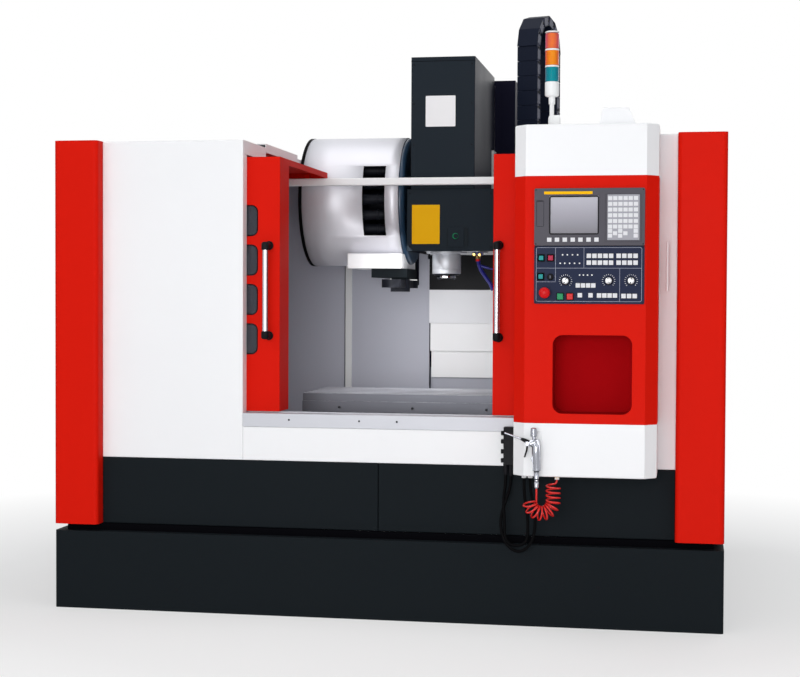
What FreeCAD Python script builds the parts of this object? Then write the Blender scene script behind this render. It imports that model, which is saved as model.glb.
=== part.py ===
import FreeCAD, Part
import math
import os

# Vertical machining centre: bed, column, saddle, table and head inside a sheet-metal enclosure.
# X runs across the machine, to the right for the operator. Y runs back from the front face of the
# base tray, and Z up from the floor. save() moves the finished pieces back by ORIGIN_BACK, so that
# the row's origin lies on the floor under the middle of the machine's box. All sizes in mm.
V = FreeCAD.Vector

# ---- enclosure
MACHINE_WIDTH = 2750.0
MACHINE_BACK = 2190.0        # back face of the base tray, from its front face
TRAY_HEIGHT = 324.0
TRAY_WALL = 6.0
RIM_HEIGHT = 29.0            # shadow gap between the tray and the panels
RIM_INSET = 40.0
ENCLOSURE_TOP = 1950.0
ENCLOSURE_BACK = 1705.0
FASCIA_HEIGHT = 57.0        # edge of the roof above a door, at the front
RAISED_START = 410.0        # front and back ends of the raised strip along the roof's edge
RAISED_END = 972.0
RAISED_TOP = 1967.0
RAISED_HEIGHT = 38.0
SHEET = 3.0                  # skin of a panel
FOLD = 25.0                  # depth of a panel's returned edges
BEND = 4.0                   # radius of a folded edge
PILLAR_WIDTH = 190.0
PILLAR_FRONT = -10.0
PILLAR_DEPTH = 190.0
PILLAR_ROUND = 18.0
PANEL_FRONT = 52.0
SKIRT_TOP = 631.0
SKIRT_SEAM = -6.0            # X of the joint between the two skirt panels
SEAM_GAP = 2.0
DOORWAY_LEFT = -577.0
DOORWAY_RIGHT = 563.0
SILL_RAIL_BOTTOM = 770.0
SILL_TOP = 825.0
SILL_DEPTH = 90.0
REAR_WALL_BOTTOM = 640.0
BEAM_FRONT = 938.0
BEAM_SIZE = 34.0
BEAM_TOP = 1856.0

# ---- sliding doors with their roof
DOOR_FACE = 110.0
DOOR_WIDTH = 600.0
DOOR_BOTTOM = 830.0
ROOF_BOTTOM = 1859.0
ROOF_EDGE = 25.0
ROOF_BACK = 985.0
DOOR_RETURN = 150.0
DOOR_TRAIL = 40.0
LEFT_DOOR_EDGE = -436.0      # leading edges in the photographed, open position
RIGHT_DOOR_EDGE = 452.0
WINDOW_WIDTH = 300.0
WINDOW_HEIGHT = 129.0
WINDOW_PITCH = 163.5
WINDOW_COUNT = 4
WINDOW_ROUND = 28.0
WINDOW_TOP = 1685.0
WINDOW_FROM_EDGE = 93.0
PANE = 6.0
PANE_LAP = 12.0
HANDLE_BOTTOM = 1148.0
HANDLE_TOP = 1513.0
HANDLE_TUBE = 12.0           # radius
HANDLE_FROM_FACE = 60.0
LEFT_HANDLE_FROM_EDGE = 46.0
RIGHT_HANDLE_FROM_EDGE = 23.0
ROLLER = 10.0                # radius of the rollers that carry the roof on the beam

# ---- machine: spindle line, bed and column
SPINDLE_X = 105.0
SPINDLE_Y = 1140.0
BED_HALF = 430.0
BED_FRONT = 430.0
BED_BACK = 2140.0
BED_BOTTOM = 70.0
BED_TOP = 560.0
FOOT_RADIUS = 55.0
FOOT_HOLE = 75.0
Y_RAIL_OFFSET = 320.0
Y_RAIL_FRONT = 480.0
Y_RAIL_BACK = 1720.0
RAIL_WIDTH = 45.0
RAIL_HEIGHT = 45.0
RAIL_CLEARANCE = 1.0
SCREW_RADIUS = 20.0
SCREW_LEVEL = 590.0
COLUMN_HALF = 250.0
COLUMN_FRONT = 1780.0
COLUMN_BACK = 2140.0
COLUMN_TOP = 2405.0
COLUMN_WAIST = 900.0
COLUMN_CROWN_BACK = 2080.0
Z_RAIL_OFFSET = 125.0
Z_RAIL_DEPTH = 40.0
Z_RAIL_BOTTOM = 1000.0
Z_RAIL_TOP = 2380.0
CHANNEL_HALF = 90.0
CHANNEL_DEPTH = 80.0

# ---- saddle and table
TABLE_LENGTH = 1000.0
TABLE_DEPTH = 500.0
TABLE_LEFT = -466.0          # photographed place of the table
TABLE_FRONT = 640.0
TABLE_TOP = 876.0
TABLE_THICK = 90.0
SLOT_COUNT = 5
SLOT_PITCH = 100.0
SLOT_WIDTH = 18.0
SLOT_DEPTH = 30.0
SLOT_BASE_WIDTH = 30.0
SLOT_BASE_HEIGHT = 12.0
SADDLE_HALF = 600.0
SADDLE_BOTTOM = 625.0
SADDLE_RAIL_OFFSET = 165.0
SADDLE_RAIL_HEIGHT = 40.0
SADDLE_TOP = 722.0

# ---- head and spindle
HEAD_FRONT = 1000.0
HOOD_HALF = 149.0
HOOD_BACK = 1735.0
HOOD_STEP_BACK = 1635.0
HOOD_STEP = 2050.0
HOOD_BOTTOM = 1806.0
HOOD_TOP = 2415.0
NOSE_BOX_LEFT = 167.0        # reach of the lower box to each side of the spindle line
NOSE_BOX_RIGHT = 241.0
NOSE_BOX_BACK = 1600.0
NOSE_BOX_BOTTOM = 1520.0
CARTRIDGE_RADIUS = 67.5
CARTRIDGE_BOTTOM = 1410.0
CARTRIDGE_FLANGE = 95.0
CARTRIDGE_SLEEVE = 73.0
SPINDLE_NOSE = 1397.0
SPINDLE_RADIUS = 44.45
TAPER_MOUTH = 22.225
TAPER_END = 12.7
TAPER_LENGTH = 65.4
SPIN_GAP = 0.3
COVER_HALF = 167.0
COVER_FRONT = 1665.0
COVER_STEP = 18.0
COVER_THICK = 14.0

# ---- tool magazine and changer
DRUM_RADIUS = 303.0
DRUM_LEFT = -575.0
DRUM_RIGHT = -100.0
DRUM_Y = 1285.0
DRUM_Z = 1764.0
DRUM_SKIN = 4.0
DRUM_END = 25.0             # depth of the domed ring on the drum's right end
POT_COUNT = 20
POT_CIRCLE = 232.0
POT_RADIUS = 27.0
ARM_X = -116.0               # axis of the changer arm
ARM_BOTTOM = 1350.0
ARM_TOP = 1388.0
ARM_REST = 90.0              # degrees from the X axis: the arm rests along Y
GEARBOX_BOTTOM = 1398.0
SHELF_LEFT = -351.0
SHELF_RIGHT = -93.0
SHELF_FRONT = 1040.0
SHELF_BACK = 1420.0
SHELF_BOTTOM = 1440.0
SHELF_TOP = 1510.0
GEARBOX_ARM_X = -193.0      # middle of the bracket between the gearbox and the column

# ---- operator's pendant
PENDANT_LEFT = 563.0
PENDANT_RIGHT = 1115.0
PENDANT_FRONT = -159.0
PENDANT_CHAMFER = 45.0
PENDANT_WALL = 4.0
PENDANT_BOTTOM = 615.0
BASE_BOX_TOP = 822.0
CAP_BOTTOM = 1774.0
PENDANT_TOP = 1972.0
UNIT_LEFT = 644.0
UNIT_RIGHT = 1064.0
UNIT_TOP = 1725.0
UNIT_BOTTOM = 1506.0
UNIT_PROUD = 12.0
PANEL_TOP = 1504.0
PANEL_BOTTOM = 1283.0
PANEL_PROUD = 6.0
RECESS_LEFT = 717.0
RECESS_RIGHT = 1020.0
RECESS_BOTTOM = 860.0
RECESS_TOP = 1163.0
RECESS_DEPTH = 120.0
RECESS_ROUND = 38.0
KNOB_TRAVEL_GAP = 0.5
ESTOP_RADIUS = 21.0
ESTOP_REACH = 45.0           # how far the emergency stop stands out of the panel
HUMP_LEFT = 882.0
HUMP_RIGHT = 1026.0

# ---- rear electrical cabinet
CABINET_LEFT = 640.0
CABINET_RIGHT = 1345.0
CABINET_TOP = 1880.0
CABINET_WALL = 4.0
CABINET_DOOR = 22.0
CABINET_HANDLE = 15.0
CABINET_HINGE = (1352.0, 2166.0)     # X and Y of the rear door's hinge pins
HINGE_LEVELS = (520.0, 1115.0, 1710.0)
HINGE_RADIUS = 6.0

# ---- cable chain
CHAIN_X = 452.0              # middle of the front leg
CHAIN_Y = 1500.0
CHAIN_TURN = 15.0            # degrees in plan between the chain's arch and the Y axis
CHAIN_WIDTH = 105.0
CHAIN_THICK = 46.0
CHAIN_LID = 4.0
CHAIN_GAP = 1.5              # half of the seam between two lids
CHAIN_RADIUS = 140.0
CHAIN_PITCH = 72.0
CHAIN_FRONT_LINKS = 11
CHAIN_BEND_LINKS = 6
CHAIN_BACK_LINKS = 8
CHAIN_HEAD_END = 1738.0      # Z of the end that the head carries

# ---- air gun and hoses
GUN_X = 661.0
GUN_Y = -190.0
GUN_HOSE_END = 572.0         # Z of the gun's hose coupling
TRIGGER_PIVOT = (625.0, 740.0)   # X and Z of the trigger's pin
COIL_TUBE = 3.5              # radius
COIL_RADIUS = 26.0           # of a winding, to the middle of the tube
COIL_TURN_OUT = 12.0         # radius of the bends at both ends of the coil
COIL_BEND = 45.0             # radius of the bend that the coil hangs in
COIL_TOP = 585.0
COIL_DROP = 65.0             # straight part of the coil above the bend
COIL_SLANT = 12.4            # degrees between the hanging bend and the machine's front
COIL_WINDINGS = 11
POINTS_PER_TURN = 4
HOSE_RADIUS = 6.0
HOSE_END_Y = -60.0
HOSE_END_X = (600.0, 624.0)

# ---- values that follow from the ones above
HALF = MACHINE_WIDTH / 2
SHELL_BACK = ENCLOSURE_BACK - FOLD
PLINTH_TOP = TRAY_HEIGHT + RIM_HEIGHT
PANEL_INNER = HALF - PILLAR_WIDTH
ESTOP_FRONT = PENDANT_FRONT - PANEL_PROUD - ESTOP_REACH
ORIGIN_BACK = (MACHINE_BACK + ESTOP_FRONT) / 2
DOOR_TOP = ROOF_BOTTOM + ROOF_EDGE
ARM_REACH = SPINDLE_X - ARM_X
HANDLE_Y = DOOR_FACE - HANDLE_FROM_FACE
TABLE_BACK = TABLE_FRONT + TABLE_DEPTH
TABLE_RIGHT = TABLE_LEFT + TABLE_LENGTH
TABLE_MID_Y = (TABLE_FRONT + TABLE_BACK) / 2
TABLE_BOTTOM = TABLE_TOP - TABLE_THICK
SADDLE_RAIL_TOP = SADDLE_TOP + SADDLE_RAIL_HEIGHT
PANEL_FACE = PENDANT_FRONT - PANEL_PROUD
UNIT_FACE = PENDANT_FRONT - UNIT_PROUD


def box(x0, x1, y0, y1, z0, z1):
    return Part.makeBox(x1 - x0, y1 - y0, z1 - z0, V(x0, y0, z0))


def rod(radius, start, end):
    """A cylinder from one point to another."""
    path = V(*end) - V(*start)
    return Part.makeCylinder(radius, path.Length, V(*start), path)


def cone(radius_start, radius_end, start, end):
    path = V(*end) - V(*start)
    return Part.makeCone(radius_start, radius_end, path.Length, V(*start), path)


def join(shapes):
    return shapes[0].fuse(shapes[1:]).removeSplitter() if len(shapes) > 1 else shapes[0]


def group(shapes):
    """Separate pieces of one kind, kept in one node."""
    return Part.makeCompound(shapes)


def outline(points):
    corners = [V(*p) for p in points]
    return Part.Face(Part.makePolygon(corners + corners[:1]))


def prism_x(points, x0, x1):
    """Outline of (y, z) points, drawn along X."""
    return outline([(x0, y, z) for y, z in points]).extrude(V(x1 - x0, 0, 0))


def prism_y(points, y0, y1):
    """Outline of (x, z) points, drawn along Y."""
    return outline([(x, y0, z) for x, z in points]).extrude(V(0, y1 - y0, 0))


def prism_z(points, z0, z1):
    """Outline of (x, y) points, drawn along Z."""
    return outline([(x, y, z0) for x, y in points]).extrude(V(0, 0, z1 - z0))


def fillet(shape, radius, chosen):
    """Rounds the edges whose middle point passes the test."""
    edges = [e for e in shape.Edges if chosen(e)]
    return shape.makeFillet(radius, edges) if edges else shape


def along(axis):
    """A test for straight edges that run along one axis."""
    unit = V(*axis)

    def test(edge):
        if not isinstance(edge.Curve, Part.Line):
            return False
        return abs(abs(edge.tangentAt(edge.FirstParameter).dot(unit)) - 1) < 1e-6

    return test


def block_y(x0, x1, y0, y1, z0, z1, radius):
    """A block whose four edges along Y are rounded."""
    return fillet(box(x0, x1, y0, y1, z0, z1), radius, along((0, 1, 0)))


def pan(x0, x1, z0, z1, front):
    """A folded sheet-metal panel that faces the front, open at its back."""
    skin = box(x0, x1, front, front + FOLD, z0, z1)
    skin = fillet(skin, BEND, lambda e: abs(e.CenterOfMass.y - front) < 0.01)
    hollow = box(x0 + SHEET, x1 - SHEET, front + SHEET, front + FOLD, z0 + SHEET, z1 - SHEET)
    return skin.cut(hollow)


def mirror_x(shape):
    return shape.mirror(V(0, 0, 0), V(1, 0, 0))


# ---- base -----------------------------------------------------------------------------------

def tray_outline(inset):
    """Plan of the base tray: full width at the front, narrower behind the left rear corner."""
    notch_x = -450.0
    left = -HALF + inset
    right = HALF - inset
    back = MACHINE_BACK - inset
    step = ENCLOSURE_BACK + 2 * RIM_INSET - inset
    return [(left, inset), (right, inset), (right, back), (notch_x + inset, back),
            (notch_x + inset, step), (left, step)]


def foot_places():
    spots = []
    for side in (-1, 1):
        for step in range(4):
            y = BED_FRONT + 120 + step * (BED_BACK - BED_FRONT - 240) / 3
            spots.append((SPINDLE_X + side * (BED_HALF - 90), y))
    return spots


def base_tray():
    tray = prism_z(tray_outline(0), 0, TRAY_HEIGHT)
    tray = fillet(tray, 12, lambda e: along((0, 0, 1))(e) and e.CenterOfMass.y < 1)
    rim = prism_z(tray_outline(RIM_INSET), TRAY_HEIGHT, PLINTH_TOP)
    body = tray.fuse(rim).cut(prism_z(tray_outline(RIM_INSET + TRAY_WALL), TRAY_WALL, PLINTH_TOP))
    holes = [Part.makeCylinder(FOOT_HOLE, TRAY_WALL, V(x, y, 0)) for x, y in foot_places()]
    return body.cut(holes)


def levelling_feet():
    feet = []
    for x, y in foot_places():
        pad = cone(FOOT_RADIUS, FOOT_RADIUS - 12, (x, y, 0), (x, y, 26))
        stud = rod(16, (x, y, 26), (x, y, BED_BOTTOM))
        nut = rod(26, (x, y, 44), (x, y, 60))
        feet.append(join([pad, stud, nut]))
    return group(feet)


def bed_casting():
    """Cast bed: a tapered box with core windows in its sides and pads under the column and rails."""
    flare = 30
    left = SPINDLE_X - BED_HALF
    right = SPINDLE_X + BED_HALF
    body = prism_y([(left - flare, BED_BOTTOM), (right + flare, BED_BOTTOM), (right, 180),
                    (right, BED_TOP - 25), (left, BED_TOP - 25), (left, 180)], BED_FRONT, BED_BACK)
    cores = []
    count = 5
    length = (BED_BACK - BED_FRONT) / count
    for index in range(count):
        y = BED_FRONT + index * length
        cores.append(block_y(left - flare, right + flare, y + 60, y + length - 60, 210, 430, 0.1))
    body = body.cut([fillet(c, 45, along((1, 0, 0))) for c in cores])
    trough = box(left + 60, right - 60, BED_FRONT + 60, COLUMN_FRONT - 120, BED_TOP - 160, BED_TOP)
    body = body.cut(trough)
    seat = box(SPINDLE_X - 55, SPINDLE_X + 55, BED_FRONT, BED_FRONT + 60, BED_TOP - 30, BED_TOP)
    body = body.cut(seat)
    pads = []
    for side in (-1, 1):
        x = SPINDLE_X + side * Y_RAIL_OFFSET
        pads.append(box(x - 50, x + 50, BED_FRONT + 40, COLUMN_FRONT - 30, BED_TOP - 170, BED_TOP))
    pads.append(box(SPINDLE_X - COLUMN_HALF - 40, SPINDLE_X + COLUMN_HALF + 40,
                    COLUMN_FRONT - 30, BED_BACK, BED_TOP - 30, BED_TOP))
    return join([body] + pads)


def column_casting():
    """Cast column, drawn in at its back above the waist, with a channel for the screw in front."""
    profile = [(COLUMN_FRONT, BED_TOP), (COLUMN_BACK, BED_TOP), (COLUMN_BACK, COLUMN_WAIST),
               (COLUMN_CROWN_BACK, COLUMN_TOP - 60), (COLUMN_CROWN_BACK - 60, COLUMN_TOP),
               (COLUMN_FRONT, COLUMN_TOP)]
    body = prism_x(profile, SPINDLE_X - COLUMN_HALF, SPINDLE_X + COLUMN_HALF)
    body = fillet(body, 20, lambda e: along((0, 0, 1))(e) and e.CenterOfMass.y > COLUMN_BACK - 1)
    channel = box(SPINDLE_X - CHANNEL_HALF, SPINDLE_X + CHANNEL_HALF, COLUMN_FRONT,
                  COLUMN_FRONT + CHANNEL_DEPTH, BED_TOP + 140, COLUMN_TOP)
    windows = []
    for level in range(4):
        z = BED_TOP + 200 + level * 400
        window = box(SPINDLE_X - COLUMN_HALF, SPINDLE_X + COLUMN_HALF, COLUMN_FRONT + 120,
                     COLUMN_CROWN_BACK - 70, z, z + 260)
        windows.append(fillet(window, 50, along((1, 0, 0))))
    side = SPINDLE_X + COLUMN_HALF
    end = CHAIN_HEAD_END + (CHAIN_FRONT_LINKS - CHAIN_BACK_LINKS) * CHAIN_PITCH - 2.5
    leg_x, leg_y = chain_back_leg()
    shelf = box(side, leg_x + CHAIN_WIDTH / 2, leg_y - 30, leg_y + 60, end - 12, end)
    root = box(side, side + 12, COLUMN_FRONT + 4, leg_y + 100, end - 80, end)
    return join([body.cut([channel] + windows), shelf, root])


def chain_back_leg():
    """X and Y of the middle of the cable chain's back leg."""
    turn = math.radians(CHAIN_TURN)
    return CHAIN_X + 2 * CHAIN_RADIUS * math.sin(turn), CHAIN_Y + 2 * CHAIN_RADIUS * math.cos(turn)


def rail_outline(middle, low, high):
    """Section of a profiled rail: waisted on both sides. Returns (across, height) points."""
    half = RAIL_WIDTH / 2
    groove = 6
    waist = (low + high) / 2
    left, right = middle - half, middle + half
    return [(left, low), (right, low), (right - groove, waist), (right, high), (left, high),
            (left + groove, waist)]


def guide_rails():
    """Profiled rails and ball screws with their bearing blocks, on the bed and on the column."""
    pieces = []
    for side in (-1, 1):
        x = SPINDLE_X + side * Y_RAIL_OFFSET
        section = rail_outline(x, BED_TOP, BED_TOP + RAIL_HEIGHT)
        pieces.append(prism_y(section, Y_RAIL_FRONT, Y_RAIL_BACK))
        x = SPINDLE_X + side * Z_RAIL_OFFSET
        section = rail_outline(x, COLUMN_FRONT, COLUMN_FRONT - Z_RAIL_DEPTH)
        pieces.append(prism_z(section, Z_RAIL_BOTTOM, Z_RAIL_TOP))
    x = SPINDLE_X
    screw_y = COLUMN_FRONT + CHANNEL_DEPTH / 2
    back = COLUMN_FRONT + CHANNEL_DEPTH
    pieces.append(join([rod(SCREW_RADIUS, (x, screw_y, Z_RAIL_BOTTOM), (x, screw_y, Z_RAIL_TOP)),
                        box(x - 60, x + 60, COLUMN_FRONT + 6, back, Z_RAIL_BOTTOM - 60, Z_RAIL_BOTTOM),
                        box(x - 60, x + 60, COLUMN_FRONT + 6, back, Z_RAIL_TOP - 60, COLUMN_TOP)]))
    front, end = BED_FRONT + 60, COLUMN_FRONT - 100
    low = BED_TOP - 30
    pieces.append(join([rod(SCREW_RADIUS, (x, front, SCREW_LEVEL), (x, end, SCREW_LEVEL)),
                        box(x - 55, x + 55, front - 60, front, low, SCREW_LEVEL + 28),
                        box(x - 55, x + 55, end, end + 30, BED_TOP, SCREW_LEVEL + 28)]))
    return group(pieces)


def chip_pan():
    """Folded pan round the bed, under the table, with a cut-out for the bed."""
    low, high = 420, 600
    x = PANEL_INNER - 5
    outer = box(-x, x, PANEL_FRONT + FOLD, ENCLOSURE_BACK - FOLD, low, high)
    hollow = box(-x + SHEET, x - SHEET, PANEL_FRONT + FOLD + SHEET, ENCLOSURE_BACK - FOLD - SHEET,
                 low + SHEET, high)
    bed = box(SPINDLE_X - BED_HALF - 2, SPINDLE_X + BED_HALF + 2, BED_FRONT - 2, ENCLOSURE_BACK, low, high)
    return outer.cut(hollow).cut(bed)


# ---- enclosure ------------------------------------------------------------------------------

def skirt_panels():
    """The two dark panels under the front, and the skirts that go on down both sides."""
    left = pan(-PANEL_INNER, SKIRT_SEAM - SEAM_GAP / 2, PLINTH_TOP, SKIRT_TOP, PANEL_FRONT)
    right = pan(SKIRT_SEAM + SEAM_GAP / 2, PANEL_INNER, PLINTH_TOP, SKIRT_TOP, PANEL_FRONT)
    side = box(-HALF, -HALF + FOLD, PILLAR_FRONT + PILLAR_DEPTH, ENCLOSURE_BACK, PLINTH_TOP, SKIRT_TOP)
    side = side.cut(box(-HALF + SHEET, -HALF + FOLD, PILLAR_FRONT + PILLAR_DEPTH + SHEET,
                        ENCLOSURE_BACK - SHEET, PLINTH_TOP + SHEET, SKIRT_TOP - SHEET))
    return group([left, right, side, mirror_x(side)])


def left_pillar():
    """Corner pillar of folded sheet, open towards the inside of the machine."""
    back = PILLAR_FRONT + PILLAR_DEPTH
    body = box(-HALF, -PANEL_INNER, PILLAR_FRONT, back, PLINTH_TOP, ENCLOSURE_TOP)
    upright = along((0, 0, 1))
    body = fillet(body, PILLAR_ROUND, lambda e: upright(e) and e.CenterOfMass.y < PILLAR_FRONT + 1)
    hollow = box(-HALF + 2 * SHEET, -PANEL_INNER - 2 * SHEET, PILLAR_FRONT + 3 * SHEET, back,
                 PLINTH_TOP + SHEET, ENCLOSURE_TOP - SHEET)
    return body.cut(hollow)


def right_pillar():
    return mirror_x(left_pillar())


def left_front_panel():
    """The panel left of the doorway; its inner edge is folded in as far as the door's face."""
    skin = pan(-PANEL_INNER, DOORWAY_LEFT, SKIRT_TOP, ENCLOSURE_TOP, PANEL_FRONT)
    edge = box(DOORWAY_LEFT - SHEET, DOORWAY_LEFT, PANEL_FRONT + FOLD - 1, DOOR_FACE - 2,
               SKIRT_TOP + SHEET, ENCLOSURE_TOP - FASCIA_HEIGHT - 1)
    return skin.fuse(edge).removeSplitter()


def right_front_panel():
    """The panel behind and beside the pendant, with its small pull handle."""
    skin = pan(DOORWAY_RIGHT, PANEL_INNER, SKIRT_TOP, ENCLOSURE_TOP, PANEL_FRONT)
    x = PENDANT_RIGHT + 32
    bottom, top, reach = 1340, 1520, 38
    grip = rod(5, (x, PANEL_FRONT - reach, bottom - 5), (x, PANEL_FRONT - reach, top + 5))
    feet = [rod(4, (x, PANEL_FRONT - reach, z), (x, PANEL_FRONT + 1, z)) for z in (bottom, top)]
    return join([skin, grip] + feet)


def sill_panel():
    return pan(DOORWAY_LEFT, DOORWAY_RIGHT, SKIRT_TOP, SILL_RAIL_BOTTOM, PANEL_FRONT)


def door_rail():
    """Steel rail along the sill: a front face, a flat top and the low rib that guides the doors."""
    front = PANEL_FRONT - 2
    low, high = SILL_RAIL_BOTTOM, SILL_TOP
    back = front + SILL_DEPTH + 28
    rib = DOOR_FACE + SHEET + 12
    under = high - SHEET
    profile = [(front, low), (front + SHEET, low), (front + SHEET, under), (back - SHEET, under),
               (back - SHEET, low), (back, low), (back, high), (rib + 6, high), (rib + 6, high + 4),
               (rib, high + 4), (rib, high), (front, high)]
    return prism_x(profile, DOORWAY_LEFT, DOORWAY_RIGHT)


def left_cabinet_shell():
    """Side wall and roof over the left door's pocket, with the flange beside the doorway."""
    front = PILLAR_FRONT + PILLAR_DEPTH
    wall = box(-HALF, -HALF + FOLD, front, SHELL_BACK, SKIRT_TOP, ENCLOSURE_TOP)
    wall = fillet(wall, BEND, lambda e: abs(e.CenterOfMass.x + HALF) < 0.01)
    wall = wall.cut(box(-HALF + SHEET, -HALF + FOLD, front + SHEET, SHELL_BACK - SHEET,
                        SKIRT_TOP + SHEET, ENCLOSURE_TOP - SHEET))
    roof = box(-HALF + SHEET, DOORWAY_LEFT, front, SHELL_BACK, ENCLOSURE_TOP - SHEET, ENCLOSURE_TOP)
    lip = box(-PANEL_INNER, DOORWAY_LEFT, PANEL_FRONT + FOLD, front,
              ENCLOSURE_TOP - SHEET, ENCLOSURE_TOP)
    return join([wall, roof, lip] + roof_edge(DOORWAY_LEFT, -1))


def roof_edge(x, side):
    """Flange above a door pocket, and the raised strip on the roof's edge. side is outward."""
    def strip(near, far, y0, y1, z0, z1):
        ends = sorted((x + side * near, x + side * far))
        return box(ends[0], ends[1], y0, y1, z0, z1)

    low = ENCLOSURE_TOP - FASCIA_HEIGHT
    raised_low = RAISED_TOP - RAISED_HEIGHT
    flange = strip(0, SHEET, PANEL_FRONT + FOLD, RAISED_START, low, ENCLOSURE_TOP)
    face = strip(0, SHEET, RAISED_START, RAISED_END, raised_low, RAISED_TOP)
    top = strip(0, 40, RAISED_START, RAISED_END, RAISED_TOP - SHEET, RAISED_TOP)
    leg = strip(40 - SHEET, 40, RAISED_START, RAISED_END, ENCLOSURE_TOP - 1, RAISED_TOP)
    rear = strip(0, SHEET, RAISED_END, SHELL_BACK, raised_low, ENCLOSURE_TOP)
    return [flange, face, top, leg, rear]


def right_cabinet_shell():
    """The same on the right, reaching in to the edge of its own pocket."""
    front = PILLAR_FRONT + PILLAR_DEPTH
    wall = box(HALF - FOLD, HALF, front, SHELL_BACK, SKIRT_TOP, ENCLOSURE_TOP)
    wall = fillet(wall, BEND, lambda e: abs(e.CenterOfMass.x - HALF) < 0.01)
    wall = wall.cut(box(HALF - FOLD, HALF - SHEET, front + SHEET, SHELL_BACK - SHEET,
                        SKIRT_TOP + SHEET, ENCLOSURE_TOP - SHEET))
    roof = box(DOORWAY_RIGHT, HALF - SHEET, front, SHELL_BACK,
               ENCLOSURE_TOP - SHEET, ENCLOSURE_TOP)
    lip = box(DOORWAY_RIGHT, PANEL_INNER, PANEL_FRONT + FOLD, front,
              ENCLOSURE_TOP - SHEET, ENCLOSURE_TOP)
    return join([wall, roof, lip] + roof_edge(DOORWAY_RIGHT, 1))


def rear_wall():
    """Inner back wall on both sides of the column, and the fixed foot of the Z-axis cover."""
    front = ENCLOSURE_BACK - FOLD
    gap = 12
    parts = []
    for x0, x1 in ((-HALF, SPINDLE_X - COVER_HALF - gap), (SPINDLE_X + COVER_HALF + gap, HALF)):
        wall = box(x0, x1, front, ENCLOSURE_BACK, REAR_WALL_BOTTOM, ENCLOSURE_TOP)
        parts.append(wall.cut(box(x0 + SHEET, x1 - SHEET, front + SHEET, ENCLOSURE_BACK,
                                  REAR_WALL_BOTTOM + SHEET, ENCLOSURE_TOP - SHEET)))
    slot = box(GEARBOX_ARM_X - 75, GEARBOX_ARM_X + 75, front, ENCLOSURE_BACK,
               GEARBOX_BOTTOM - 30, SHELF_TOP + 30)
    parts[0] = parts[0].cut(slot)
    foot_front = COVER_FRONT + 3 * COVER_STEP
    foot_back = foot_front + COVER_THICK
    left, right = SPINDLE_X - COVER_HALF, SPINDLE_X + COVER_HALF
    foot = box(left, right, foot_front, foot_back, 600, 952)
    tie = box(left, right, foot_back, COLUMN_FRONT, 660, 720)
    return group(parts + [join([foot, tie])])


def cross_beam():
    """Square tube across the machine that carries the back of the sliding roof."""
    z0 = BEAM_TOP - BEAM_SIZE
    x = HALF - SHEET
    tube = box(-x, x, BEAM_FRONT, BEAM_FRONT + BEAM_SIZE, z0, BEAM_TOP)
    tube = fillet(tube, 5, along((1, 0, 0)))
    return tube.cut(box(-x, x, BEAM_FRONT + 4, BEAM_FRONT + BEAM_SIZE - 4, z0 + 4, BEAM_TOP - 4))


# ---- doors ----------------------------------------------------------------------------------

def window_places(edge, side):
    """Low and high X and Z of each window of a door, whose leading edge is at X = edge."""
    near = edge + side * WINDOW_FROM_EDGE
    far = near + side * WINDOW_WIDTH
    x0, x1 = min(near, far), max(near, far)
    tops = [WINDOW_TOP - index * WINDOW_PITCH for index in range(WINDOW_COUNT)]
    return [(x0, x1, top - WINDOW_HEIGHT, top) for top in tops]


def sliding_door(edge, side):
    """Door leaf and its roof section in one weldment. side is the way the door opens along X."""
    far = edge + side * DOOR_WIDTH
    x0, x1 = min(edge, far), max(edge, far)
    inner = edge + side * SHEET
    outer = far - side * SHEET
    leaf = box(x0, x1, DOOR_FACE, DOOR_FACE + SHEET, DOOR_BOTTOM, DOOR_TOP)
    lead = box(min(edge, inner), max(edge, inner), DOOR_FACE, DOOR_FACE + DOOR_RETURN,
               DOOR_BOTTOM, DOOR_TOP)
    lip_end = edge + side * 28
    lip = box(min(edge, lip_end), max(edge, lip_end), DOOR_FACE + DOOR_RETURN - SHEET,
              DOOR_FACE + DOOR_RETURN, DOOR_BOTTOM, ROOF_BOTTOM)
    trail = box(min(far, outer), max(far, outer), DOOR_FACE, DOOR_FACE + DOOR_TRAIL,
                DOOR_BOTTOM, DOOR_TOP)
    foot = box(x0, x1, DOOR_FACE, DOOR_FACE + 12, DOOR_BOTTOM, DOOR_BOTTOM + SHEET)
    roof = box(x0, x1, DOOR_FACE, ROOF_BACK, DOOR_TOP - SHEET, DOOR_TOP)
    edges = [box(x0, x0 + SHEET, DOOR_FACE, ROOF_BACK, ROOF_BOTTOM, DOOR_TOP),
             box(x1 - SHEET, x1, DOOR_FACE, ROOF_BACK, ROOF_BOTTOM, DOOR_TOP),
             box(x0, x1, ROOF_BACK - SHEET, ROOF_BACK, ROOF_BOTTOM, DOOR_TOP)]
    door = join([leaf, lead, lip, trail, foot, roof] + edges)
    cuts = []
    for wx0, wx1, wz0, wz1 in window_places(edge, side):
        cuts.append(block_y(wx0, wx1, DOOR_FACE, DOOR_FACE + SHEET, wz0, wz1, WINDOW_ROUND))
    door = door.cut(cuts)
    rollers = []
    for share in (0.15, 0.85):
        x = x0 + share * DOOR_WIDTH
        y = BEAM_FRONT + BEAM_SIZE / 2
        z = BEAM_TOP + ROLLER
        wheel = rod(ROLLER, (x - 9, y, z), (x + 9, y, z))
        fork = box(x + 9, x + 13, y - 12, y + 12, z - 6, DOOR_TOP - SHEET)
        rollers.extend([wheel, fork])
    return join([door] + rollers)


def window_panes(edge, side):
    panes = []
    for x0, x1, z0, z1 in window_places(edge, side):
        panes.append(block_y(x0 - PANE_LAP, x1 + PANE_LAP, DOOR_FACE + SHEET, DOOR_FACE + SHEET + PANE,
                             z0 - PANE_LAP, z1 + PANE_LAP, WINDOW_ROUND + PANE_LAP))
    return group(panes)


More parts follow.
